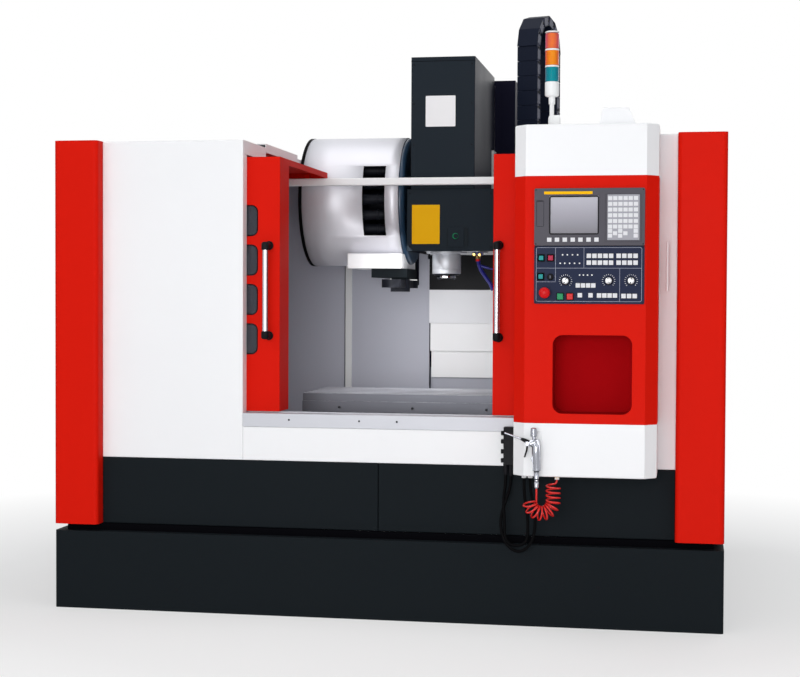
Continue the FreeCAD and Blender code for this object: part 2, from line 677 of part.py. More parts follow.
def door_handle(x):
    """Steel grip between two moulded elbows."""
    grip = rod(HANDLE_TUBE, (x, HANDLE_Y, HANDLE_BOTTOM), (x, HANDLE_Y, HANDLE_TOP))
    pieces = [grip]
    for z, way in ((HANDLE_BOTTOM, -1), (HANDLE_TOP, 1)):
        knuckle = rod(HANDLE_TUBE + 4, (x, HANDLE_Y, z - way * 14), (x, HANDLE_Y, z + way * 18))
        arm = rod(HANDLE_TUBE, (x, HANDLE_Y, z + way * 4), (x, DOOR_FACE - 8, z + way * 4))
        flange = rod(HANDLE_TUBE + 7, (x, DOOR_FACE - 8, z + way * 4), (x, DOOR_FACE, z + way * 4))
        pieces.extend([knuckle, arm, flange])
    return join(pieces)


def left_door():
    return sliding_door(LEFT_DOOR_EDGE, -1)


def right_door():
    return sliding_door(RIGHT_DOOR_EDGE, 1)


def left_door_windows():
    return window_panes(LEFT_DOOR_EDGE, -1)


def right_door_windows():
    return window_panes(RIGHT_DOOR_EDGE, 1)


def left_door_handle():
    return door_handle(LEFT_DOOR_EDGE - LEFT_HANDLE_FROM_EDGE)


def right_door_handle():
    return door_handle(RIGHT_DOOR_EDGE + RIGHT_HANDLE_FROM_EDGE)


# ---- saddle and table -----------------------------------------------------------------------

def carriage_blocks(points, rail_top, block_top, along_x):
    """Runner blocks that straddle a rail, open below. points are their middles in X and Y."""
    blocks = []
    length, width = 150, 100
    half = RAIL_WIDTH / 2 + RAIL_CLEARANCE
    for x, y in points:
        lx, ly = (length / 2, width / 2) if along_x else (width / 2, length / 2)
        low = rail_top - RAIL_HEIGHT + 8
        block = box(x - lx, x + lx, y - ly, y + ly, low, block_top)
        gx, gy = (lx, half) if along_x else (half, ly)
        blocks.append(block.cut(box(x - gx, x + gx, y - gy, y + gy, low, rail_top + RAIL_CLEARANCE)))
    return blocks


def saddle():
    """Cast saddle: runner blocks below for the Y rails, rails above for the table."""
    y0, y1 = TABLE_FRONT, TABLE_BACK
    deck_low = SADDLE_BOTTOM
    left, right = SPINDLE_X - SADDLE_HALF, SPINDLE_X + SADDLE_HALF
    inner = SPINDLE_X - Y_RAIL_OFFSET - 70, SPINDLE_X + Y_RAIL_OFFSET + 70
    profile = [(inner[0], deck_low), (inner[1], deck_low), (inner[1] + 20, deck_low + 40),
               (right, SADDLE_TOP - 20), (right, SADDLE_TOP), (left, SADDLE_TOP),
               (left, SADDLE_TOP - 20), (inner[0] - 20, deck_low + 40)]
    deck = prism_y(profile, y0 + 40, y1 - 40)
    pieces = [deck]
    for side in (-1, 1):
        y = TABLE_MID_Y + side * SADDLE_RAIL_OFFSET
        half = RAIL_WIDTH / 2
        pieces.append(box(left, right, y - half, y + half, SADDLE_TOP, SADDLE_RAIL_TOP))
    corners = [(-1, -1), (-1, 1), (1, -1), (1, 1)]
    points = [(SPINDLE_X + sx * Y_RAIL_OFFSET, TABLE_MID_Y + sy * 150) for sx, sy in corners]
    pieces += carriage_blocks(points, BED_TOP + RAIL_HEIGHT, deck_low + 5, False)
    pieces.append(box(SPINDLE_X - 45, SPINDLE_X + 45, TABLE_MID_Y - 50, TABLE_MID_Y + 50,
                      BED_TOP + 1, deck_low + 5))
    screw = rod(SCREW_RADIUS + SPIN_GAP, (SPINDLE_X, y0, SCREW_LEVEL), (SPINDLE_X, y1, SCREW_LEVEL))
    return join(pieces).cut(screw)


def slot_middles():
    first = TABLE_MID_Y - SLOT_PITCH * (SLOT_COUNT - 1) / 2
    return [first + index * SLOT_PITCH for index in range(SLOT_COUNT)]


def table():
    """Table with T-slots along X, a ledge along its front and runner blocks on the saddle's rails."""
    x0, x1 = TABLE_LEFT, TABLE_RIGHT
    skirt = 48
    plate = box(x0, x1, TABLE_FRONT, TABLE_BACK, TABLE_TOP - 50, TABLE_TOP)
    plate = plate.fuse(box(x0 + 30, x1 - 30, TABLE_FRONT + 30, TABLE_BACK - 30,
                           TABLE_BOTTOM, TABLE_TOP - 50))
    slots = []
    for y in slot_middles():
        neck = SLOT_WIDTH / 2
        base = SLOT_BASE_WIDTH / 2
        bottom = TABLE_TOP - SLOT_DEPTH
        shoulder = bottom + SLOT_BASE_HEIGHT
        profile = [(y - base, bottom), (y + base, bottom), (y + base, shoulder),
                   (y + neck, shoulder), (y + neck, TABLE_TOP), (y - neck, TABLE_TOP),
                   (y - neck, shoulder), (y - base, shoulder)]
        slots.append(prism_x(profile, x0, x1))
    plate = plate.cut(slots)
    ledge = box(x0, x1, TABLE_FRONT - 12, TABLE_FRONT, TABLE_TOP - 34 - skirt, TABLE_TOP - 34)
    middle = (x0 + x1) / 2
    reach = 120
    corners = [(-1, -1), (-1, 1), (1, -1), (1, 1)]
    points = [(middle + sx * reach, TABLE_MID_Y + sy * SADDLE_RAIL_OFFSET) for sx, sy in corners]
    blocks = carriage_blocks(points, SADDLE_RAIL_TOP, TABLE_BOTTOM + 2, True)
    holes = [rod(6, (middle + step * 330, TABLE_FRONT - 12, TABLE_TOP - 62),
                 (middle + step * 330, TABLE_FRONT + 10, TABLE_TOP - 62)) for step in (-1, 0, 1)]
    return join([plate, ledge] + blocks).cut(holes)


# ---- head -----------------------------------------------------------------------------------

def head_cover():
    """Sheet cover of the head: a wide box round the spindle and a tall hood over the motor."""
    x = SPINDLE_X
    step, low = HOOD_STEP_BACK, HOOD_BOTTOM
    hood_outline = [(HEAD_FRONT, low), (step, low), (step, HOOD_STEP), (HOOD_BACK, HOOD_STEP),
                    (HOOD_BACK, HOOD_TOP), (HEAD_FRONT, HOOD_TOP)]
    front, low, top = HEAD_FRONT + SHEET, HOOD_BOTTOM - SHEET, HOOD_TOP - SHEET
    inner_outline = [(front, low), (step, low), (step, HOOD_STEP + SHEET),
                     (HOOD_BACK - SHEET, HOOD_STEP + SHEET), (HOOD_BACK - SHEET, top), (front, top)]
    hood = prism_x(hood_outline, x - HOOD_HALF, x + HOOD_HALF)
    nose = box(x - NOSE_BOX_LEFT, x + NOSE_BOX_RIGHT, HEAD_FRONT, NOSE_BOX_BACK,
               NOSE_BOX_BOTTOM, HOOD_BOTTOM)
    shell = hood.fuse(nose).removeSplitter()
    upright = along((0, 0, 1))
    shell = fillet(shell, 6, lambda e: upright(e) and e.CenterOfMass.y < HEAD_FRONT + 1)
    inside = prism_x(inner_outline, x - HOOD_HALF + SHEET, x + HOOD_HALF - SHEET)
    inside = inside.fuse(box(x - NOSE_BOX_LEFT + SHEET, x + NOSE_BOX_RIGHT - SHEET, HEAD_FRONT + SHEET,
                             NOSE_BOX_BACK, NOSE_BOX_BOTTOM, HOOD_BOTTOM - SHEET))
    shell = shell.cut(inside)
    button_x = x + 65
    bezel = box(button_x - 37, button_x + 37, HEAD_FRONT - 6, HEAD_FRONT, 1540, 1630)
    button = rod(11, (button_x, HEAD_FRONT - 14, 1589), (button_x, HEAD_FRONT - 6, 1589))
    end = CHAIN_HEAD_END - 6.5
    arm = box(x + NOSE_BOX_RIGHT, CHAIN_X + CHAIN_WIDTH / 2, CHAIN_Y - 45, CHAIN_Y + 45, end - 12, end)
    root = box(x + NOSE_BOX_RIGHT - SHEET, x + NOSE_BOX_RIGHT + 10, CHAIN_Y - 45, CHAIN_Y + 45,
               end - 80, end)
    return join([shell, bezel, button, arm, root])


def head_casting():
    """Cast head: a body round the spindle, and a back plate with runner blocks on the Z rails."""
    x = SPINDLE_X
    plate_front, plate_back = 1600, COLUMN_FRONT - Z_RAIL_DEPTH - 5
    top = HOOD_BOTTOM - 8
    body = box(x - 130, x + 130, HEAD_FRONT + 25, plate_front, NOSE_BOX_BOTTOM + 8, top)
    upright = along((0, 0, 1))
    body = fillet(body, 40, lambda e: upright(e) and e.CenterOfMass.y < HEAD_FRONT + 30)
    plate = box(x - 160, x + 160, plate_front + 40, plate_back, NOSE_BOX_BOTTOM, 2040)
    neck = box(x - 130, x + 130, plate_front, plate_front + 40, NOSE_BOX_BOTTOM + 8, top)
    rib = prism_x([(1400, top), (plate_front + 40, top), (plate_front + 40, 2000), (plate_front, 2000)],
                  x - 60, x + 60)
    blocks = []
    half = RAIL_WIDTH / 2 + RAIL_CLEARANCE
    for side in (-1, 1):
        for z in (1540, 1860):
            bx = x + side * Z_RAIL_OFFSET
            block = box(bx - 36, bx + 36, plate_back, COLUMN_FRONT - 4, z, z + 150)
            gap_front = COLUMN_FRONT - Z_RAIL_DEPTH - RAIL_CLEARANCE
            blocks.append(block.cut(box(bx - half, bx + half, gap_front, COLUMN_FRONT, z, z + 150)))
    screw_y = COLUMN_FRONT + CHANNEL_DEPTH / 2
    nut = box(x - 45, x + 45, plate_back, screw_y + 32, 1700, 1780)
    nut = nut.cut(rod(SCREW_RADIUS + SPIN_GAP, (x, screw_y, 1700), (x, screw_y, 1780)))
    bore = rod(CARTRIDGE_SLEEVE, (x, SPINDLE_Y, NOSE_BOX_BOTTOM), (x, SPINDLE_Y, top))
    return join([body, neck, plate, rib, nut] + blocks).cut(bore)


def z_cover_upper():
    """First leaf of the telescopic cover under the head."""
    return cover_leaf(0, 1176, NOSE_BOX_BOTTOM)


def cover_leaf(index, low, high):
    front = COVER_FRONT + index * COVER_STEP
    back = front + COVER_THICK
    x0, x1 = SPINDLE_X - COVER_HALF + 3 * index, SPINDLE_X + COVER_HALF - 3 * index
    leaf = box(x0, x1, front, back, low, high)
    return leaf.cut(box(x0 + SHEET, x1 - SHEET, front + SHEET, back, low, high - SHEET))


def z_cover_middle():
    return cover_leaf(1, 1035, 1226)


def z_cover_lower():
    return cover_leaf(2, 901, 1086)


def spindle_cartridge():
    x, y = SPINDLE_X, SPINDLE_Y
    flange = rod(CARTRIDGE_FLANGE, (x, y, NOSE_BOX_BOTTOM - 18), (x, y, NOSE_BOX_BOTTOM + 8))
    collar = rod(50, (x, y, 1500), (x, y, NOSE_BOX_BOTTOM - 18))
    sleeve = rod(CARTRIDGE_SLEEVE, (x, y, NOSE_BOX_BOTTOM + 8), (x, y, 1700))
    drum = rod(CARTRIDGE_RADIUS, (x, y, CARTRIDGE_BOTTOM + 6), (x, y, NOSE_BOX_BOTTOM - 18))
    low, radius = CARTRIDGE_BOTTOM, CARTRIDGE_RADIUS
    lip = cone(radius - 6, radius, (x, y, low), (x, y, low + 6))
    bore = rod(40 + SPIN_GAP, (x, y, CARTRIDGE_BOTTOM), (x, y, 1700))
    return join([flange, collar, sleeve, drum, lip]).cut(bore)


def spindle_rotor():
    """Spindle with a taper bore and two drive keys at its nose."""
    x, y = SPINDLE_X, SPINDLE_Y
    nose = rod(SPINDLE_RADIUS, (x, y, SPINDLE_NOSE), (x, y, CARTRIDGE_BOTTOM - 2))
    shaft = rod(40, (x, y, CARTRIDGE_BOTTOM - 2), (x, y, 1690))
    taper = cone(TAPER_MOUTH, TAPER_END, (x, y, SPINDLE_NOSE), (x, y, SPINDLE_NOSE + TAPER_LENGTH))
    bar = rod(8, (x, y, SPINDLE_NOSE), (x, y, SPINDLE_NOSE + 180))
    keys = [box(x + side * 33 - 8, x + side * 33 + 8, y - 8, y + 8, SPINDLE_NOSE - 8, SPINDLE_NOSE)
            for side in (-1, 1)]
    return join([nose, shaft] + keys).cut([taper, bar])


def coolant_nozzles():
    """Manifold fitting under the head, with its two posed nozzle hoses."""
    x, y, z = SPINDLE_X + 149, SPINDLE_Y, NOSE_BOX_BOTTOM
    manifold = box(x - 24, x + 24, y - 14, y + 14, z - 16, z)
    bends = [(x, y, z - 10), (x + 2, y, z - 50), (x + 14, y, z - 86), (x + 38, y + 2, z - 120),
             (x + 60, y + 4, z - 150), (x + 72, y + 4, z - 180)]
    hose = tube_along(route(bends, []), 9, 8)
    branch = rod(6.5, (x + 2, y, z - 62), (x + 52, y, z - 76))
    spout = cone(5, 3, (x + 52, y, z - 76), (x + 84, y, z - 84))
    return join([manifold, hose, branch, spout])


# ---- tool magazine --------------------------------------------------------------------------

def magazine_cover():
    """Drum cover with a viewing slot in front, over a box that is open below for the tool pot."""
    end = DRUM_RIGHT + DRUM_END
    outer = rod(DRUM_RADIUS, (DRUM_LEFT, DRUM_Y, DRUM_Z), (end, DRUM_Y, DRUM_Z))
    outer = fillet(outer, DRUM_END - 3, lambda e: abs(e.CenterOfMass.x - end) < 0.1)
    inner = rod(DRUM_RADIUS - DRUM_SKIN, (DRUM_LEFT + DRUM_SKIN, DRUM_Y, DRUM_Z),
                (DRUM_RIGHT, DRUM_Y, DRUM_Z))
    left, right = SHELF_LEFT + SHEET, SHELF_RIGHT - SHEET
    back = SHELF_BACK - SHEET
    shelf = box(SHELF_LEFT, SHELF_RIGHT, SHELF_FRONT, SHELF_BACK, SHELF_BOTTOM, SHELF_TOP)
    under = box(left, right, SHELF_FRONT + SHEET, back, SHELF_BOTTOM, SHELF_TOP - SHEET)
    throat = box(left, DRUM_RIGHT - SHEET, SHELF_FRONT + 100, back, SHELF_BOTTOM, SHELF_TOP + 40)
    window = box(-270, -164, DRUM_Y - DRUM_RADIUS, DRUM_Y - 120, 1595, 1916)
    return outer.fuse(shelf).cut([inner, under, throat, window])


def magazine_disc():
    """Tool disc with its pots, turning about the drum's axis."""
    plate = rod(POT_CIRCLE - 10, (-300, DRUM_Y, DRUM_Z), (-286, DRUM_Y, DRUM_Z))
    hub = rod(60, (-480, DRUM_Y, DRUM_Z), (-180, DRUM_Y, DRUM_Z))
    pots = []
    for index in range(POT_COUNT):
        angle = 2 * math.pi * index / POT_COUNT
        y = DRUM_Y + POT_CIRCLE * math.cos(angle)
        z = DRUM_Z + POT_CIRCLE * math.sin(angle)
        pots.append(cone(POT_RADIUS, POT_RADIUS - 6, (-296, y, z), (-182, y, z)))
    return join([plate, hub] + pots)


def changer_gearbox():
    """Cam gearbox under the drum and the bracket that carries the magazine from the column."""
    left, right = GEARBOX_ARM_X - 48, SPINDLE_X - COLUMN_HALF
    middle = GEARBOX_ARM_X
    box_part = box(left, ARM_X + 44, 1065, 1330, GEARBOX_BOTTOM, SHELF_BOTTOM)
    collar = rod(42, (ARM_X, SPINDLE_Y, GEARBOX_BOTTOM - 8), (ARM_X, SPINDLE_Y, GEARBOX_BOTTOM))
    arm = box(left, right, 1330, COLUMN_FRONT + 60, GEARBOX_BOTTOM, SHELF_BOTTOM)
    foot = box(left, right, COLUMN_FRONT + 5, COLUMN_FRONT + 125, GEARBOX_BOTTOM, SHELF_TOP - 7)
    web = box(middle - 12, middle + 12, 1446, COLUMN_FRONT + 60, SHELF_BOTTOM, SHELF_TOP - 7)
    return join([box_part, collar, arm, foot, web])


def changer_arm():
    """Double gripper arm with its hub below the gearbox, resting turned clear of the spindle."""
    hub = rod(46, (0, 0, ARM_BOTTOM - 18), (0, 0, ARM_TOP + 1.5))
    bar = box(-ARM_REACH, ARM_REACH, -30, 30, ARM_BOTTOM, ARM_TOP)
    pieces = [hub, bar]
    for side in (-1, 1):
        pieces.append(rod(46, (side * ARM_REACH, 0, ARM_BOTTOM), (side * ARM_REACH, 0, ARM_TOP)))
    arm = join(pieces)
    cuts = []
    for side in (-1, 1):
        x = side * ARM_REACH
        cuts.append(rod(31, (x, 0, ARM_BOTTOM), (x, 0, ARM_TOP)))
        cuts.append(box(x - 24, x + 24, min(0, side * 70), max(0, side * 70), ARM_BOTTOM, ARM_TOP))
    arm = arm.cut(cuts)
    arm.rotate(V(0, 0, 0), V(0, 0, 1), ARM_REST)
    arm.translate(V(ARM_X, SPINDLE_Y, 0))
    return arm


# ---- pendant --------------------------------------------------------------------------------

def pendant_plan(inset):
    c = PENDANT_CHAMFER
    left, right = PENDANT_LEFT + inset, PENDANT_RIGHT - inset
    front = PENDANT_FRONT + inset
    return [(left, PANEL_FRONT), (left, front + c), (left + c, front), (right - c, front),
            (right, front + c), (right, PANEL_FRONT)]


def pendant_cap():
    """White top of the pendant, closed above, with the raised vent hood on it."""
    shell = prism_z(pendant_plan(0), CAP_BOTTOM, PENDANT_TOP)
    shell = fillet(shell, 8, lambda e: abs(e.CenterOfMass.z - PENDANT_TOP) < 0.1
                   and e.CenterOfMass.y < PANEL_FRONT - 1)
    shell = shell.cut(prism_z(pendant_plan(PENDANT_WALL), CAP_BOTTOM, PENDANT_TOP - PENDANT_WALL))
    low, high = PENDANT_TOP - 1, PENDANT_TOP + 72
    hump = prism_y([(HUMP_LEFT, low), (HUMP_RIGHT, low), (HUMP_RIGHT - 30, high), (HUMP_LEFT + 14, high)],
                   -60, 40)
    return join([shell, fillet(hump, 8, lambda e: e.CenterOfMass.z > PENDANT_TOP + 60)])


def pendant_body():
    """Red middle of the pendant, with the rounded storage pocket below the panel."""
    shell = prism_z(pendant_plan(0), BASE_BOX_TOP, CAP_BOTTOM)
    wall = PENDANT_WALL
    shell = shell.cut(prism_z(pendant_plan(wall), BASE_BOX_TOP + wall, CAP_BOTTOM - wall))
    pocket_back = PENDANT_FRONT + RECESS_DEPTH
    liner = block_y(RECESS_LEFT - wall, RECESS_RIGHT + wall, PENDANT_FRONT, pocket_back + wall,
                    RECESS_BOTTOM - wall, RECESS_TOP + wall, RECESS_ROUND + wall)
    pocket = block_y(RECESS_LEFT, RECESS_RIGHT, PENDANT_FRONT, pocket_back,
                     RECESS_BOTTOM, RECESS_TOP, RECESS_ROUND)
    bores = [rod(11 + KNOB_TRAVEL_GAP, (ESTOP_PLACE[0], PENDANT_FRONT, ESTOP_PLACE[1]),
                 (ESTOP_PLACE[0], PENDANT_FRONT + wall, ESTOP_PLACE[1]))]
    half = BUTTON_HALF + KNOB_TRAVEL_GAP
    for x, z in (START_PLACE, HOLD_PLACE):
        bores.append(box(x - half, x + half, PENDANT_FRONT, PENDANT_FRONT + wall, z - half, z + half))
    return shell.fuse(liner).cut([pocket] + bores).removeSplitter()


def pendant_base_box():
    """White foot of the pendant with the hook for the air gun and the two hose ports under it."""
    shell = prism_z(pendant_plan(0), PENDANT_BOTTOM, BASE_BOX_TOP)
    shell = fillet(shell, 6, lambda e: abs(e.CenterOfMass.z - PENDANT_BOTTOM) < 0.1
                   and e.CenterOfMass.y < PANEL_FRONT - 1)
    shell = shell.cut(prism_z(pendant_plan(PENDANT_WALL), PENDANT_BOTTOM + PENDANT_WALL, BASE_BOX_TOP))
    hook = join([box(GUN_X - 14, GUN_X + 14, PENDANT_FRONT - 4, PENDANT_FRONT, 700, 790),
                 rod(3.5, (GUN_X - 4, PENDANT_FRONT - 4, 756), (GUN_X - 4, GUN_Y + 14, 756))])
    port_x, port_y = COIL_PORT.x, COIL_PORT.y
    port = rod(9, (port_x, port_y, PENDANT_BOTTOM - 12), (port_x, port_y, PENDANT_BOTTOM))
    y, low = HOSE_END_Y, PENDANT_BOTTOM
    glands = [rod(10, (x, y, low - 16), (x, y, low)) for x in HOSE_END_X]
    return group([join([shell, hook, port] + glands), air_regulator()])


def display_unit():
    """Control unit in one moulded frame: screen window, soft keys below it and keypad beside it."""
    body = block_y(UNIT_LEFT, UNIT_RIGHT, UNIT_FACE, PENDANT_FRONT, UNIT_BOTTOM, UNIT_TOP, 6)
    screen = block_y(701, 891, UNIT_FACE, UNIT_FACE + 5, 1548, 1696, 3)
    keypad = block_y(915, 1052, UNIT_FACE, UNIT_FACE + 3, 1520, 1702, 3)
    slot = block_y(652, 678, UNIT_FACE, UNIT_FACE + 6, 1580, 1680, 3)
    return body.cut([screen, keypad, slot])


def display_screen():
    """Glass of the screen, set into the unit's window."""
    return block_y(701.3, 890.7, UNIT_FACE + 2, UNIT_FACE + 5, 1548.3, 1695.7, 3)


def display_keys():
    """Key field of the control unit: six columns by eight rows, and seven soft keys."""
    keys = []
    pitch_x, pitch_z = 21.5, 21.8
    for column in range(6):
        for row in range(8):
            x = 920.5 + column * pitch_x
            z = 1524.5 + row * pitch_z
            keys.append(box(x, x + 18, UNIT_FACE - 1.5, UNIT_FACE + 3, z, z + 18))
    for index in range(7):
        x = 705 + index * 26.6
        keys.append(box(x, x + 20, UNIT_FACE - 1.5, UNIT_FACE, 1520, 1536))
    return group(keys)


def control_panel():
    """Machine operator's panel: a plate with bores for its turning and pressing parts."""
    body = block_y(UNIT_LEFT, UNIT_RIGHT, PANEL_FACE, PENDANT_FRONT, PANEL_BOTTOM, PANEL_TOP, 6)
    bores = []
    for x, z in KNOB_PLACES:
        bores.append(rod(KNOB_STEM + KNOB_TRAVEL_GAP, (x, PANEL_FACE, z), (x, PENDANT_FRONT, z)))
    bores.append(rod(11 + KNOB_TRAVEL_GAP, (ESTOP_PLACE[0], PANEL_FACE, ESTOP_PLACE[1]),
                     (ESTOP_PLACE[0], PENDANT_FRONT, ESTOP_PLACE[1])))
    for x, z in (START_PLACE, HOLD_PLACE):
        half = BUTTON_HALF + KNOB_TRAVEL_GAP
        bores.append(box(x - half, x + half, PANEL_FACE, PENDANT_FRONT, z - half, z + half))
    return body.cut(bores)


def square_keys(places, half, proud):
    return [box(x - half, x + half, PANEL_FACE - proud, PANEL_FACE, z - half, z + half) for x, z in places]


def control_keys():
    """Keys, lamps, power buttons and key switch of the operator's panel."""
    rows = [(847 + 25.2 * i, z) for i in range(5) for z in (1465, 1438)]
    rows += [(960 + 27 * i, z) for i in range(4) for z in (1465, 1438)]
    rows += [(813 + 20.7 * i, 1350) for i in range(4)] + [(823, 1311), (864, 1311)]
    rows += [(897 + 20.3 * i, 1311) for i in range(4)] + [(991 + 21 * i, 1311) for i in range(3)]
    pieces = square_keys(rows, 8.5, 2)
    pieces += square_keys([(671, 1455), (711, 1455), (670, 1381)], 12, 7)
    lamps = [(754 + 19 * i, 1469) for i in range(4)] + [(745 + 18.7 * i, 1436) for i in range(5)]
    lamps += [(822 + 16 * i, 1390) for i in range(4)]
    pieces += [rod(3, (x, PANEL_FACE - 1.5, z), (x, PANEL_FACE, z)) for x, z in lamps]
    pieces.append(rod(8, (707, PANEL_FACE - 9, 1382), (707, PANEL_FACE, 1382)))
    return group(pieces)


# Middles of the moving controls on the panel, as X and Z
ESTOP_PLACE = (687.0, 1325.0)
KNOB_PLACES = ((765.0, 1371.0), (929.0, 1372.0), (1014.0, 1372.0))
START_PLACE = (745.0, 1311.0)
HOLD_PLACE = (782.0, 1311.0)
KNOB_STEM = 4.0
KNOB_RADIUS = 13.5
BUTTON_HALF = 11.5
BUTTON_REACH = 8.0


def emergency_stop():
    """Mushroom button on its stem."""
    x, z = ESTOP_PLACE
    stem = rod(11, (x, PANEL_FACE - 22, z), (x, PENDANT_FRONT, z))
    head = rod(ESTOP_RADIUS, (x, ESTOP_FRONT, z), (x, PANEL_FACE - 20, z))
    head = fillet(head, 7, lambda e: abs(e.CenterOfMass.y - ESTOP_FRONT) < 0.1)
    return join([stem, head])


def selector_knob(index):
    """Rotary switch knob with a raised grip bar."""
    x, z = KNOB_PLACES[index]
    stem = rod(KNOB_STEM, (x, PANEL_FACE - 1, z), (x, PENDANT_FRONT, z))
    skirt = rod(KNOB_RADIUS, (x, PANEL_FACE - 8, z), (x, PANEL_FACE - 1, z))
    bar = box(x - 4, x + 4, PANEL_FACE - 20, PANEL_FACE - 8, z - KNOB_RADIUS + 1, z + KNOB_RADIUS - 1)
    return join([stem, skirt, fillet(bar, 2, lambda e: abs(e.CenterOfMass.y - PANEL_FACE + 20) < 0.1)])


def feed_override_knob():
    return selector_knob(0)


def rapid_override_knob():
    return selector_knob(1)


def spindle_override_knob():
    return selector_knob(2)


def square_button(place):
    x, z = place
    h = BUTTON_HALF
    cap = box(x - h, x + h, PANEL_FACE - BUTTON_REACH, PENDANT_FRONT, z - h, z + h)
    return fillet(cap, 1.5, lambda e: abs(e.CenterOfMass.y - PANEL_FACE + BUTTON_REACH) < 0.1)


def cycle_start_button():
    return square_button(START_PLACE)


def feed_hold_button():
    return square_button(HOLD_PLACE)


# ---- signal lamp ----------------------------------------------------------------------------

LAMP_X = 685.0
LAMP_Y = 100.0
LAMP_RADIUS = 28.0
LAMP_BASE = 2108.0
LENS_BOTTOM = 2167.0
LENS_HEIGHT = 60.0
LENS_PITCH = 66.0
LAMP_TOP = 2366.0
LAMP_CORE = 8.0              # radius


def signal_lamp_stem():
    """Bracket, angled pole, base, the dark core and collars between the lenses, and the top cap."""
    x, y = LAMP_X, LAMP_Y
    foot = box(x - 2, x + 40, y - 22, y + 22, ENCLOSURE_TOP, ENCLOSURE_TOP + 6)
    post = box(x + 4, x + 34, y - 15, y + 15, ENCLOSURE_TOP, ENCLOSURE_TOP + 84)
    elbow = rod(12, (x + 10, y, ENCLOSURE_TOP + 58), (x - 2, y, ENCLOSURE_TOP + 62))
    pole = rod(9, (x, y, ENCLOSURE_TOP + 54), (x, y, LAMP_BASE))
    base = rod(LAMP_RADIUS, (x, y, LAMP_BASE), (x, y, LENS_BOTTOM))
    core = rod(LAMP_CORE, (x, y, LENS_BOTTOM), (x, y, LAMP_TOP))
    collars = []
    for index in range(3):
        top = LENS_BOTTOM + index * LENS_PITCH + LENS_HEIGHT
        collars.append(rod(LAMP_RADIUS - 1.5, (x, y, top), (x, y, top + LENS_PITCH - LENS_HEIGHT)))
    cap = cone(LAMP_RADIUS, LAMP_RADIUS - 12, (x, y, LENS_BOTTOM + 3 * LENS_PITCH), (x, y, LAMP_TOP + 6))
    return join([foot, post, elbow, pole, base, core, cap] + collars)


def signal_lamp_lenses():
    lenses = []
    for index in range(3):
        low = LENS_BOTTOM + index * LENS_PITCH
        ring = rod(LAMP_RADIUS, (LAMP_X, LAMP_Y, low), (LAMP_X, LAMP_Y, low + LENS_HEIGHT))
        bore = rod(LAMP_CORE + 0.5, (LAMP_X, LAMP_Y, low), (LAMP_X, LAMP_Y, low + LENS_HEIGHT))
        lenses.append(ring.cut(bore))
    return group(lenses)


# ---- air gun, hoses -------------------------------------------------------------------------

def air_gun():
    """Blow gun: handle, body, slanted nozzle, top knob with hanging eye and hose fitting."""
    x, y = GUN_X, GUN_Y
    handle = prism_y([(x - 14, 640), (x + 12, 640), (x + 14, 735), (x + 6, 762), (x - 26, 758),
                      (x - 28, 744), (x - 14, 736), (x - 16, 700), (x - 22, 690), (x - 14, 668)],
                     y - 9, y + 9)
    px, pz = TRIGGER_PIVOT
    cheek = [(px - 5, pz - 4), (px + 5, pz - 4), (px + 12, pz + 12), (px - 6, pz + 14)]
    cheeks = [prism_y(cheek, y + side, y + side + 2) for side in (-9.5, 7.5)]
    pin = rod(1.5, (px, y - 9.5, pz), (px, y + 9.5, pz))
    neck = rod(7, (x - 10, y, 755), (x - 11, y, 776))
    knob = rod(12, (x - 12, y, 776), (x - 12, y, 802))
    barrel = cone(7, 5, (x - 18, y, 745), (x - 62, y, 764))
    nozzle = rod(3.2, (x - 60, y, 763), (x - 124, y, 785))
    fitting = [rod(10, (x, y, 622), (x, y, 641)), rod(8, (x, y, 600), (x, y, 622)),
               cone(6, 9, (x, y, GUN_HOSE_END), (x, y, 600))]
    return join([handle, neck, knob, barrel, nozzle, pin] + cheeks + fitting)


def air_gun_trigger():
    """Curved lever in front of the handle, hung on the pin between the gun's two cheeks."""
    x, y = GUN_X, GUN_Y
    px, pz = TRIGGER_PIVOT
    profile = [(px - 3, pz), (px + 3, pz - 1), (x - 35, 718), (x - 44, 692), (x - 49, 694), (x - 41, 720)]
    lever = prism_y(profile, y - 7, y + 7).fuse(rod(4, (px, y - 7, pz), (px, y + 7, pz)))
    return lever.cut(rod(1.5 + SPIN_GAP, (px, y - 7, pz), (px, y + 7, pz)))


# Plan directions of the hanging coil: from its first leg to its second, which ends under the air gun
COIL_HEADING = V(-math.cos(math.radians(COIL_SLANT)), -math.sin(math.radians(COIL_SLANT)), 0)
COIL_SECOND = V(GUN_X - COIL_RADIUS, GUN_Y + COIL_TURN_OUT, COIL_TOP - COIL_DROP)
COIL_FIRST = COIL_SECOND - COIL_HEADING * (2 * COIL_BEND) + V(0, 0, COIL_DROP)
COIL_PORT = COIL_FIRST + V(COIL_TURN_OUT, COIL_RADIUS, 0)
COIL_LENGTH = COIL_DROP + math.pi * COIL_BEND
COIL_START_ANGLE = 90 + COIL_SLANT
COIL_TURNS = COIL_WINDINGS + (COIL_START_ANGLE + COIL_SLANT) / 360


def coil_axis(distance):
    """Point, direction and inward normal of the coil's own axis: straight down, then a half bend."""
    if distance < COIL_DROP:
        return COIL_FIRST + V(0, 0, -distance), V(0, 0, -1), COIL_HEADING
    angle = (distance - COIL_DROP) / COIL_BEND
    down = V(0, 0, -1)
    centre = COIL_FIRST + down * COIL_DROP + COIL_HEADING * COIL_BEND
    outward = down * math.sin(angle) - COIL_HEADING * math.cos(angle)
    direction = COIL_HEADING * math.sin(angle) + down * math.cos(angle)
    return centre + outward * COIL_BEND, direction, outward * -1


